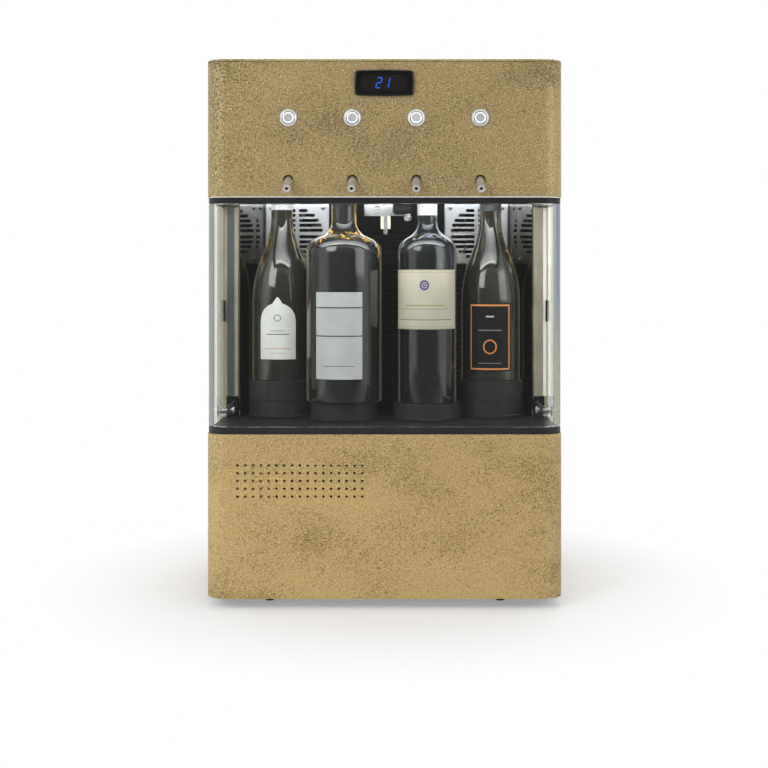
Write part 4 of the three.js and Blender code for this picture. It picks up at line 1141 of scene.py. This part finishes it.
def bottle_shape(spec):
    """The outer line, then back down the bore and the inside of the body."""
    side, base, body = bottle_side(spec), spec["base"], spec["body"]
    punt = [(0, base + 16), (body * 0.4, base + 12), (body * 0.72, base)]
    inner = side[HEEL_POINTS:-LIP_POINTS][::-1] - (WALL_THICK, 0)
    bore = [(9.3, MOUTH), (9.3, MOUTH - 38)]
    floor = [(body - WALL_THICK, base + 8), (body * 0.6, base + 9), (0, base + 21)]
    return around_bottle(spec, np.concatenate([punt, side, bore, inner, floor]), steps=96)


glasses = {1: olive_glass, 2: smoke_glass, 3: night_glass, 4: olive_glass}
for number, spec in BOTTLES.items():
    made = put(
        f"bottle_{number}_glass", bottle_shape(spec), glasses[number], "bottle_glass", lean=0,
        instead_of=f"bottle_{number}",
    )
    print(made.name, "faces", len(made.data.polygons))

# %% [markdown]
# ## Risers
#
# Moulded stands lift the bottles to one mouth height. The outer two have a
# second tier, and a dark joint between the tiers is all that tells them apart,
# so the turned line steps in a little there. The broad bottle covers its whole
# stand, and the others stand in a shallow seat.

# %% Risers
ONE_TIER, TWO_TIERS = 250.1, 277.1


def riser_line(high, seat):
    """(radius, height) from the foot up: flange, wall, joint under the second tier, seat."""
    line = [(0, 228.1), (45.5, 228.1), (46, 228.6), (46, 231.1), (45.5, 231.6), (44.4, 231.7)]
    line += [(44, 232.2)]
    if high == TWO_TIERS:
        line += [(44, 249.4), (43.2, 249.7), (43.2, 250.5), (44, 250.8)]
    line += [(44, high - 0.8), (43.2, high)]
    if seat:
        return line + [(42.1, high), (41.5, high - 0.6), (41.5, high - 3), (0, high - 3)]
    return line + [(0, high)]


for number, spec in BOTTLES.items():
    line = riser_line(TWO_TIERS if number in (1, 4) else ONE_TIER, seat=number != 2)
    put(
        f"riser_{number}_stand", around_bottle(spec, line, steps=96), stand_black,
        "black_moulding", instead_of=f"riser_{number}",
    )
print("risers made")

# %% [markdown]
# ## Front controls
#
# Each push button is a steel bezel with a coned rim round a cap, and the cap carries a lit ring
# round a brushed disc. Bezel, cap and ring are turned about an axis that points at the viewer. The
# cap and its ring ride on the button's own body, so that they go in together when it is pressed.
# The spouts are plain tubes that slope down out of rounded holes. A thin dark ring round each tube
# just inside its hole is painted shade: it stands for the shadow in the hole. The spouts leave low
# in their holes, which keeps a dark gap above them.

# %% Buttons and spouts
SPOUT_HIGH, SHADE_RING_HIGH, RING_FACE = 535.6, 537, -2.42
SPOUT_SLOPE = math.radians(24.2)
spout_way = (0, -math.cos(SPOUT_SLOPE), -math.sin(SPOUT_SLOPE))
bezel = [
    (7.2, -28), (9.4, -28), (9.4, 0.3), (11, 0.3), (11, 0.9), (10.6, 1.5), (8.5, 3.0), (8.1, 3.2),
    (7.5, 3.1), (7.2, 2.7),
]
cap = [(0, -17.2), (6.9, -17.2), (6.9, 2.2), (6.75, 2.4), (5.5, 2.45), (5.2, 2.75), (0, 2.6)]
lit_ring = rounded([(5.6, 0), (6.8, 0), (6.8, 0.3), (5.6, 0.3)], 0.08, 2)
# Painted shade: a thin dark ring that stands for the shadow in each spout's hole.
hole_shade_ring = [(6.0, -6), (6.35, -6), (6.35, -0.3), (6.2, -0.15), (6.0, -0.3)]
tube = [(2.1, -20.2), (5, -20.2), (5.2, 27.2), (4.8, 27.7), (2.5, 27.7), (2.1, 27.3)]
ring_light = glowing("ring_light", tone(255, 255, 255), 0.6, patch=300)
cap_steel = brushed_metal("cap_steel", tone(226, 229, 232), 0.34, depth=0.3, metal=0.35)
bezel_steel = brushed_metal("bezel_steel", tone(238, 238, 238), 0.2, depth=0.04, metal=0.7)
spout_steel = brushed_metal("spout_steel", tone(226, 223, 220), 0.24, depth=0.03, metal=0.7)
for number, x in enumerate(AXES, 1):
    button = f"button_{number}"
    put(
        f"bezel_{number}", facing(bezel, x, BUTTON_HIGH, 56), bezel_steel, "stainless",
        instead_of=f"button_bezel_{number}",
    )
    put(
        f"cap_{number}", facing(cap, x, BUTTON_HIGH, 48, ring=False), cap_steel, "stainless",
        body=button, instead_of=f"button_cap_{number}",
    )
    ring = facing(lit_ring, x, BUTTON_HIGH, 48, deep=RING_FACE)
    put(f"lit_ring_{number}", ring, ring_light, "light_strip", body=button)
    # The dark ring of painted shade in the hole, round the tube.
    put(f"spout_shade_ring_{number}", facing(hole_shade_ring, x, SHADE_RING_HIGH, 40), rubber, "foot_rubber")
    put(
        f"spout_{number}_tube", turned(tube, (x, 0, SPOUT_HIGH), spout_way, 40, ring=True),
        spout_steel, "stainless", instead_of=f"spout_{number}",
    )
print("buttons and spouts made")

# %% [markdown]
# ## Controller
#
# The temperature controller is a standard panel instrument in a gloss black
# case. Its frame is a rounded outline carried through a bulged edge, and its
# window is cut a little deeper. The display shows a temperature in two slanted
# digits of seven strokes; each stroke is a thin six-sided bar that glows.

# %% Controller case and window
CASE_FACE, BULGE = -2.1, 2.4
case_plan = plan_of(
    [
        (-36.8, 642.3, 4.5), (0, 641.5, 200), (36.8, 642.3, 4.5), (37.5, 658, 60),
        (36.8, 673.7, 4.5), (0, 674.5, 200), (-36.8, 673.7, 4.5), (-37.5, 658, 60),
    ],
    closed=True,
    steps=8,
)
bulge = quarter((BULGE, CASE_FACE), (-BULGE, -BULGE), 6)
case = plate(case_plan, [(BULGE, 52), (BULGE, -0.3), (0, -0.3), *bulge])
put(
    "controller_case", stood_up(case), case_gloss, "display_case",
    cutters=prism(slab(-29, 29, 648, 668, 2.5), -8, -3.7), instead_of="controller",
)
pane = prism(slab(-28.9, 28.9, 648.1, 667.9, 2.4), -3.72, -3.5)
pane_black = satin_coat("window_black", tone(24, 19, 18), 0.25, wear=0.1, shine=1.0)
put("controller_window", pane, pane_black, "display_case")
print("controller made")

# %% Digits
STROKES = {
    "a": (0, 1, 1, 1), "b": (1, 1, 1, 0.5), "c": (1, 0.5, 1, 0), "d": (0, 0, 1, 0),
    "e": (0, 0.5, 0, 0), "g": (0, 0.5, 1, 0.5),
}
DIGIT = (5.6, 12.6)
DIGIT_LOW, DIGIT_LEAN = 651.6, 0.18


def stroke(left, ends, half=0.65):
    """One bar between two corners of a digit, pointed at both ends, leaned by height."""
    first, last = np.array(ends, float).reshape(2, 2) * DIGIT
    way = (last - first) / math.hypot(*(last - first))
    side = np.array([-way[1], way[0]])
    start, end = first + way * 0.25, last - way * 0.25
    outline = np.array([
        start, start + (way + side) * half, end - (way - side) * half,
        end, end - (way + side) * half, start + (way - side) * half,
    ])
    outline[:, 0] += left + outline[:, 1] * DIGIT_LEAN
    outline[:, 1] += DIGIT_LOW
    return prism(outline, -3.95, -3.7)


blue = glowing("display_blue", tone(10, 84, 222), 0.55, patch=900)
two, one = (-10.6, "abged"), (-0.7, "bc")
bars = together(*(stroke(left, STROKES[s]) for left, strokes in (two, one) for s in strokes))
put("display_digits", bars, blue, "light_strip", sharp=20)
print("digits made")

# %% [markdown]
# ## Labels
#
# A label is paper wrapped on the glass: a grid over angle and height, laid a
# tenth of a millimetre off the bottle's own line so that it follows the
# shoulder too, then given its thickness. The first one's top is a half ellipse
# with a small pointed gable on its middle.

# %% Paper on glass


def glass_radius(spec, height):
    """The radius of the glass at each height, between the heel and the lip."""
    side = bottle_side(spec)[HEEL_POINTS - 1 : -LIP_POINTS]
    return np.interp(height, side[:, 1], side[:, 0])


def arch(across):
    """The top of the first label: 356 + 24 * half ellipse + 8.5 * gable."""
    off = np.abs(across - 0.5) / 0.5
    dome = np.sqrt(np.clip(1 - off**2, 0, 1))
    return 356 + 24 * dome + 8.5 * np.clip(1 - off / 0.26, 0, 1) ** 0.8


def put_label(number, left, right, low, high, finish, top=None, columns=48, rows=25):
    """A label from angle left to right: its grid, its UV map, and a thickness outwards.

    point = axis + (radius + 0.12) * (sin angle, -cos angle), at its height.
    """
    spec, name = BOTTLES[number], f"label_{number}"
    across, up = np.meshgrid(np.linspace(0, 1, columns), np.linspace(0, 1, rows))
    crown = high if top is None else top(across)
    height = low + up * (crown - low)
    radius = glass_radius(spec, height) + 0.12
    angle = np.radians(left + across * (right - left))
    x, y = spec["x"] + radius * np.sin(angle), spec["depth"] - radius * np.cos(angle)
    shares = np.stack([across, (height - low) / (high - low)], -1).reshape(-1, 2)
    mesh = bpy.data.meshes.new(name)
    mesh.from_pydata(placed(np.stack([x, y, height], -1)).tolist(), [], grid_faces(rows, columns))
    corners = np.empty(len(mesh.loops), int)
    mesh.loops.foreach_get("vertex_index", corners)
    mesh.uv_layers.new(name="print").data.foreach_set("uv", shares[corners].ravel())
    thing = in_scene(name, mesh)
    paper = thing.modifiers.new("paper", "SOLIDIFY")
    paper.thickness = 0.12 * MM
    paper.offset = 1
    finished(thing)
    return dressed(thing, finish, "bottle_glass", lean=0)


print("paper ready")

# %% [markdown]
# ## Print
#
# The print is worked out on the label's own UV map, so that it bends with the
# paper, and is nothing but plain rules and small marks. Each mark is a share
# from 0 to 1 that a colour is mixed in by: a box is near in both directions,
# and a ring is near in its distance from a middle.

# %% Printed paper


class Print:
    """Rules and marks on a label's UV map, in shares of its width and height."""

    def __init__(self, name):
        self.recipe = Recipe(name)
        uv = self.recipe.node("ShaderNodeUVMap", {"uv_map": "print"})
        self.u, self.v = self.recipe.axis("X", uv), self.recipe.axis("Y", uv)

    def box(self, v, half_u, half_v):
        """1 inside a rectangle on the label's middle line."""
        near = self.recipe.math("COMPARE", self.u, 0.5, half_u)
        return near * self.recipe.math("COMPARE", self.v, v, half_v)

    def ring(self, v, radius, line, shape):
        """1 on a circle's line; shape is the label's height over its width."""
        du, dv = self.u - 0.5, (self.v - v) * shape
        away = self.recipe.math("SQRT", du * du + dv * dv)
        return self.recipe.math("COMPARE", away, radius, line)

    def paper(self, colour, marks, roughness=0.55):
        """Paper with its own grain, and each (share, colour) printed over it in turn."""
        recipe = self.recipe
        fibre = recipe.noise(1400, 3)
        aged = recipe.noise(40, 2)
        share = recipe.between(fibre * 0.5 + aged * 0.5, 0.38, 0.62)
        seen = recipe.mix(share, shade(colour, 0.86), colour)
        for share, ink in marks:
            seen = recipe.mix(share, seen, ink)
        return recipe.coat(
            Base_Color=seen, Roughness=roughness + (fibre - 0.5) * 0.2, Specular_IOR_Level=0.2,
            Normal=recipe.bump(fibre, 0.1, 0.0001),
        )


print("print ready")

# %% [markdown]
# ## What is on each label
#
# The rules are in inks of a few tones, and each label's marks are listed from
# the first printed to the last. The last step wraps every label round its
# bottle, between two angles from the front and two heights.

# %% The four labels
INK, SLATE, PALE = tone(60, 60, 62), tone(66, 68, 70), tone(120, 122, 122)
ROSE, COPPER = tone(196, 140, 140), tone(222, 140, 78)
VIOLET, OCHRE = tone(70, 52, 130), tone(150, 134, 96)
first = Print("label_white")
paper_1 = first.paper(tone(229, 229, 224), [
    (first.box(0.40, 0.32, 0.006), INK),
    (first.box(0.455, 0.20, 0.004), INK),
    (first.box(0.17, 0.36, 0.006), ROSE),
    (first.box(0.10, 0.24, 0.004), ROSE),
    (first.ring(0.66, 0.085, 0.012, 1.7), tone(120, 122, 124)),
])
second = Print("label_grey")
paper_2 = second.paper(tone(199, 200, 199), [
    (second.box(0.822, 0.5, 0.007), SLATE),
    (second.box(0.496, 0.5, 0.007), SLATE),
    (second.box(0.15, 0.33, 0.004), tone(110, 112, 114)),
], 0.35)
third = Print("label_cream")
margin = 1 - third.box(0.5, 0.475, 0.475)
paper_3 = third.paper(tone(196, 189, 170), [
    (margin * 0.5, tone(170, 158, 128)),
    (third.box(0.955, 0.46, 0.004) * 0.7, OCHRE),
    (third.box(0.045, 0.46, 0.004) * 0.7, OCHRE),
    (third.box(0.40, 0.28, 0.008), tone(150, 130, 84)),
    (third.box(0.34, 0.34, 0.004), tone(110, 106, 98)),
    (third.box(0.16, 0.40, 0.006), tone(96, 96, 100)),
    (third.ring(0.74, 0.05, 0.011, 0.72), VIOLET),
    (third.ring(0.74, 0.02, 0.008, 0.72), VIOLET),
])
fourth = Print("label_black")
frame_line = fourth.box(0.5, 0.47, 0.475) - fourth.box(0.5, 0.438, 0.452)
paper_4 = fourth.paper(tone(17, 17, 16), [
    (frame_line, COPPER),
    (fourth.ring(0.36, 0.14, 0.013, 1.45), COPPER),
    (fourth.box(0.60, 0.26, 0.008), PALE),
    (fourth.box(0.12, 0.26, 0.006), PALE),
    (fourth.box(0.80, 0.09, 0.01), tone(190, 190, 188)),
], 0.5)
put_label(1, -38.1, 31.7, 305.5, 388.5, paper_1, arch)
put_label(2, -42.5, 30.2, 283.1, 395.4, paper_2)
put_label(3, -80, 67.6, 347, 424.4, paper_3)
put_label(4, -46, 37.3, 289.4, 380.4, paper_4)
print("labels made")

# %% [markdown]
# ## Neck bands
#
# A band of paper or foil is left round some necks. It is the same wrap as a label, taken right
# round, so it is turned instead: a thin closed section swung about the bottle's axis. The paper
# hangs close under the lit ceiling, and its faint glow is painted light, for the light that it lets
# through.

# %% Neck bands


def band(number, low, high, finish):
    """A thin sleeve round a bottle's neck."""
    heights = np.linspace(low, high, 8)
    radii = glass_radius(BOTTLES[number], heights)
    outer = np.stack([radii + 0.3, heights], -1)
    inner = np.stack([radii + 0.05, heights], -1)[::-1]
    shape = around_bottle(BOTTLES[number], np.concatenate([outer, inner]), ring=True)
    put(f"neck_band_{number}", shape, finish, "bottle_glass")


# Painted light: the paper band glows a little, for the light that passes through it.
paper_band = glowing("band_paper", tone(240, 241, 244), 0.3, patch=300)
foil_band = satin_coat("band_foil", tone(62, 64, 66), 0.35, wear=0.3)
band(1, 504.5, 515.6, paper_band)
band(3, 496, 514, paper_band)
band(4, 503, 520, foil_band)
print("bands made")

# %% [markdown]
# ## Light dots
#
# Under the strip sits a row of small lamps that the bottles mirror. Each is a
# low dome of a few dozen faces, because there are many of them and only their
# mirror image is seen.

# %% Light dots
dome = [(0, 0), (1.6, 0), (1.6, 0.2), (1.1, 0.45), (0, 0.55)]
spots = np.linspace(-184, 184, 42)
dots = together(*(turned(dome, (x, 24.5, 513.5), (0, 0, -1), 8) for x in spots))
put("light_dots", dots, dot_light, "light_strip")
print("dots made")

# %% [markdown]
# ## Under the ceiling
#
# A bent steel bracket hangs under the ceiling between the necks, with a
# temperature sensor clipped behind its tongue, and a gas elbow beside it. Sheet
# that is bent once in each direction is simplest as its side view pushed
# across, with every edge broken a little, and round fittings are turned.

# %% Bracket, sensor and gas elbow
BRACKET_FRONT, BRACKET_BACK, BRACKET_LOW = 91, 92.5, 495
bracket_side = [
    (BRACKET_FRONT, CEILING), (111, CEILING), (111, 514), (BRACKET_BACK, 514),
    (BRACKET_BACK, 496.5), (98, 496.5), (98, BRACKET_LOW), (BRACKET_FRONT, BRACKET_LOW),
]
put(
    "bracket_sheet", sideways(prism(bracket_side, -28, 28), 1), steel, "stainless",
    round_off=0.35, instead_of="sensor_bracket",
)
tongue = together(
    prism(slab(-2.5, 2.5, 471, 513, 0.8, 4), 89.5, 90.9),
    prism(slab(-5, 5, 509, 513.6, 1, 4), 88.8, 89.5),
)
put("bracket_tongue", tongue, steel, "stainless", round_off=0.2)
sensor_beige = satin_coat("sensor_beige", tone(206, 198, 178), 0.5, grain=1400, wear=0.1)
sensor_block = prism(slab(-6.5, 6.5, 478, 494.8, 1.2, 4), 91.05, 97.8)
put("sensor_block", sensor_block, sensor_beige, "black_moulding", round_off=0.5)
screw_spot = (-11, 504.5, BRACKET_FRONT)
put(
    "bracket_screw", cross_screw(*screw_spot, 4, 1.6), steel, "stainless",
    cutters=cross_cut(*screw_spot, 2.4, 0.9, 1.6),
)
GAS = (83.7, 504)
barrel = [
    (0, 0), (5.4, 0), (6.2, 0.5), (6.2, 3.5), (7, 4), (7, 19.6), (6.4, 20.4), (6.4, 23.3),
    (5.6, 24), (0, 24),
]
elbow = together(
    turned(barrel, (10, *GAS), (1, 0, 0), 36),
    turned([(0, 0), (4.4, 0), (4.4, 11.4), (0, 11.4)], (17, *GAS), (0, 0, 1), 28),
)
put("gas_elbow", elbow, moulding, "black_moulding", instead_of="gas_fitting")
nut = [
    (0, 488), (3.2, 488), (3.4, 489), (4.6, 489.2), (4.9, 489.7), (4.9, 493.9), (4.6, 494.4),
    (3.4, 494.6), (3.4, 499), (0, 499),
]
put("gas_elbow_nut", turned(nut, (29.1, GAS[0], 0), steps=6), steel, "stainless", sharp=20)
print("bracket, sensor and elbow made")

# %% [markdown]
# ## Feet
#
# Four rubber feet are turned parts with a slight taper and a broken edge. The
# line stops short of the axis at the ground, which leaves a shallow hollow for
# the head of the screw that holds the foot.

# %% Feet
foot_line = [
    (0, 0.4), (2.2, 0.4), (2.4, 0.0), (5.2, 0.0), (5.8, 0.6), (6.6, 9.5), (7.0, 10.4),
    (7.0, 12.2), (6.6, 12.7), (0, 12.7),
]
for name in ("foot_front_left", "foot_front_right", "foot_rear_left", "foot_rear_right"):
    low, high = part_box(name)
    middle = (np.array(low) + np.array(high)) / 2 / MM
    centre = (middle[0], middle[1] - FRONT / MM, 0)
    shape = turned(foot_line, centre, steps=40)
    put(f"{name}_rubber", shape, rubber, "foot_rubber", instead_of=name)
print("feet made")

# %% [markdown]
# ## Finishes of the pieces that stay
#
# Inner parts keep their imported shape, because their form is already right and
# little of them shows. Each gets the finish of its material slot by being put
# in the slot of its object, and nothing else about it changes.

# %% Finishes by slot
BY_SLOT = {
    "gold_paint": gold, "black_plate": charcoal, "dark_metal": panel_black, "stainless": steel,
    "bright_sheet": mirror, "trim_aluminium": trim, "raw_aluminium": raw, "gloss_liner": gloss,
    "black_moulding": moulding, "clear_cover": acrylic, "display_case": case_gloss,
    "bottle_glass": olive_glass, "foot_rubber": rubber, "light_strip": strip_light,
}
for node in frame["nodes"].values():
    for held in node.material_slots:
        held.material = BY_SLOT[held.material.name.split(".")[0]]
for held in frame["nodes"]["ceiling_sheet"].material_slots:
    held.material = ceiling_light
print("dressed", len(frame["nodes"]), "packed pieces")

# %% [markdown]
# ## Floor
#
# A pale floor takes the soft shadow and fades into plain white away from the
# machine, as a studio sweep does. For mirrors it turns dark a step in front of
# the machine, where the unlit room begins.

# %% Studio floor
FLOOR_HALF, FLOOR_LINES = 1200, 9


def plain_light(recipe, level):
    """A surface that shows one grey, whatever light falls on it."""
    return recipe.node("ShaderNodeEmission", {}, {0: (level, level, level, 1), 1: 1.0})


def studio_floor():
    """Pale paper near the machine, plain white farther off, by the distance from it."""
    recipe = Recipe("studio_floor")
    x, y = recipe.axis("X"), recipe.axis("Y")
    away = recipe.math("SQRT", x * x + y * y)
    pale = recipe.mix(recipe.noise(60, 2), (0.90, 0.90, 0.90, 1), (0.93, 0.93, 0.93, 1))
    paper = recipe.node("ShaderNodeBsdfDiffuse", {}, {0: pale})
    share = (recipe.between(away, 0.24, 0.46) * 0.7 + 0.3) * recipe.ray("Camera")
    near = recipe.mix_shaders(share, paper, plain_light(recipe, 1))
    room = recipe.between(y, -0.5, -1.1) * recipe.ray("Glossy")
    return recipe.send(recipe.mix_shaders(room, near, plain_light(recipe, 0.16)))


lines = np.linspace(-FLOOR_HALF, FLOOR_HALF, FLOOR_LINES)
floor_x, floor_y = np.meshgrid(lines, lines)
floor_points = np.stack([floor_x, floor_y, floor_x * 0], -1).reshape(-1, 3) * MM
floor_mesh = bpy.data.meshes.new("floor")
floor_mesh.from_pydata(floor_points.tolist(), [], grid_faces(FLOOR_LINES, FLOOR_LINES))
floor_mesh.materials.append(studio_floor())
floor = in_scene("floor", floor_mesh)
print("floor made")

# %% [markdown]
# ## World
#
# The world gives even light at which a colour looks as it is written, and is
# plain white for the camera. Gloss needs something to mirror, so mirrored rays
# find a dim room on the viewer's side. Rays through the cover find stripes of
# light and dark behind the machine: the real cover's bent corners gather just
# such stripes from whatever stands around it.

# %% Studio world


def studio_world():
    """White for the camera, a dim room for mirrors, and striped light through the cover.

    Each stripe has a middle and a half width, as the sideways part of the ray's direction.
    """
    recipe = Recipe(bpy.data.worlds.new("studio"), "Generated")
    seen, passed, mirrored = (recipe.ray(kind) for kind in ("Camera", "Transmission", "Glossy"))
    x, y = recipe.axis("X"), recipe.axis("Y")
    right = recipe.between(x, -0.02, 0.02)
    either = recipe.math("MAXIMUM", mirrored, passed)

    dark = recipe.between(abs(x - 0.08), 0.46, 0.30)
    window = recipe.between(abs(x - 0.14), 0.10, 0.05)
    front = recipe.mix(dark, (1.5, 1.52, 1.55, 1), (0.42, 0.44, 0.46, 1))
    front = recipe.mix(window, front, (0.9, 0.88, 0.82, 1))
    front = recipe.mix(mirrored, front, (0.15, 0.15, 0.15, 1))
    room = recipe.mix(recipe.between(y, -0.62, -0.80) * either, (1, 1, 1, 1), front)

    behind = recipe.mix(right, (0.80, 0.74, 0.64, 1), (1.08, 1.06, 1.01, 1))
    for middle, half, colour in (
        (-0.262, 0.044, (1.3, 1.27, 1.2, 1)),
        (-0.150, 0.030, (0.56, 0.53, 0.46, 1)),
        (0.25, 0.05, (0.55, 0.53, 0.5, 1)),
    ):
        stripe = recipe.between(abs(x - middle), half, half * 0.7)
        behind = recipe.mix(stripe, behind, colour)
    low = recipe.between(recipe.axis("Z"), -0.02, -0.07)
    blue = recipe.mix(low, (0.20, 0.26, 0.36, 1), (0.38, 0.38, 0.27, 1))
    rim = recipe.mix(right, (0.3, 0.31, 0.3, 1), blue)
    side = recipe.mix(recipe.between(abs(x), 0.30, 0.34), behind, rim)

    colour = recipe.mix(passed * recipe.between(y, -0.3, -0.1), room, side)
    level = 0.58 + recipe.math("MAXIMUM", seen, either) * 0.42
    return recipe.send(recipe.node("ShaderNodeBackground", {}, {0: colour, 1: level}), "World")


bpy.context.scene.world = studio_world()
print("world made")

# %% [markdown]
# ## Lamps
#
# Two large soft lamps in front give the casings their shape, and one behind
# does so for the back. A narrow low one warms the foot of the machine, and a
# slim one does the work of the light strip. These last two aren't meant to be
# seen, so mirrors, and for the low one the cover too, leave them out.

# %% Lamps


def lamp(name, place, target, size, watts, tall=None, mirrored=True, spread=180, passed=True):
    """A rectangular soft lamp in metres, turned so that it faces its target."""
    light = bpy.data.lights.new(name, "AREA")
    light.shape = "RECTANGLE"
    light.size = size
    light.size_y = tall or size
    light.energy = watts
    light.spread = math.radians(spread)
    thing = in_scene(name, light)
    thing.location = place
    way = np.array(target, float) - np.array(place, float)
    tilt, heading = math.acos(-way[2] / np.linalg.norm(way)), math.atan2(way[1], way[0])
    thing.rotation_euler = (tilt, 0, heading - math.pi / 2)
    thing.visible_glossy = mirrored
    thing.visible_transmission = passed


lamp("key", (-1.5, -1.9, 1.6), (0, 0, 0.35), 1.3, 23.5)
lamp("fill", (1.7, -1.5, 1.0), (0, 0, 0.35), 1.2, 9)
lamp(
    "low", (-1.1, FRONT - 1.5, 0.16), (-0.14, FRONT, 0.06), 0.4, 0.42, mirrored=False, spread=36,
    passed=False,
)
lamp("back_light", (0.6, 2.2, 1.6), (0, 0, 0.4), 1.4, 22)
lamp(
    "strip", (0, FRONT + 0.0245, 0.5120), (0, FRONT + 0.19, 0.470), 0.37, 0.75, tall=0.008,
    mirrored=False,
)
print("lamps made")

# %% [markdown]
# ## The end
#
# Last, the scene is brought up to date.

# %% The end
bpy.context.view_layer.update()
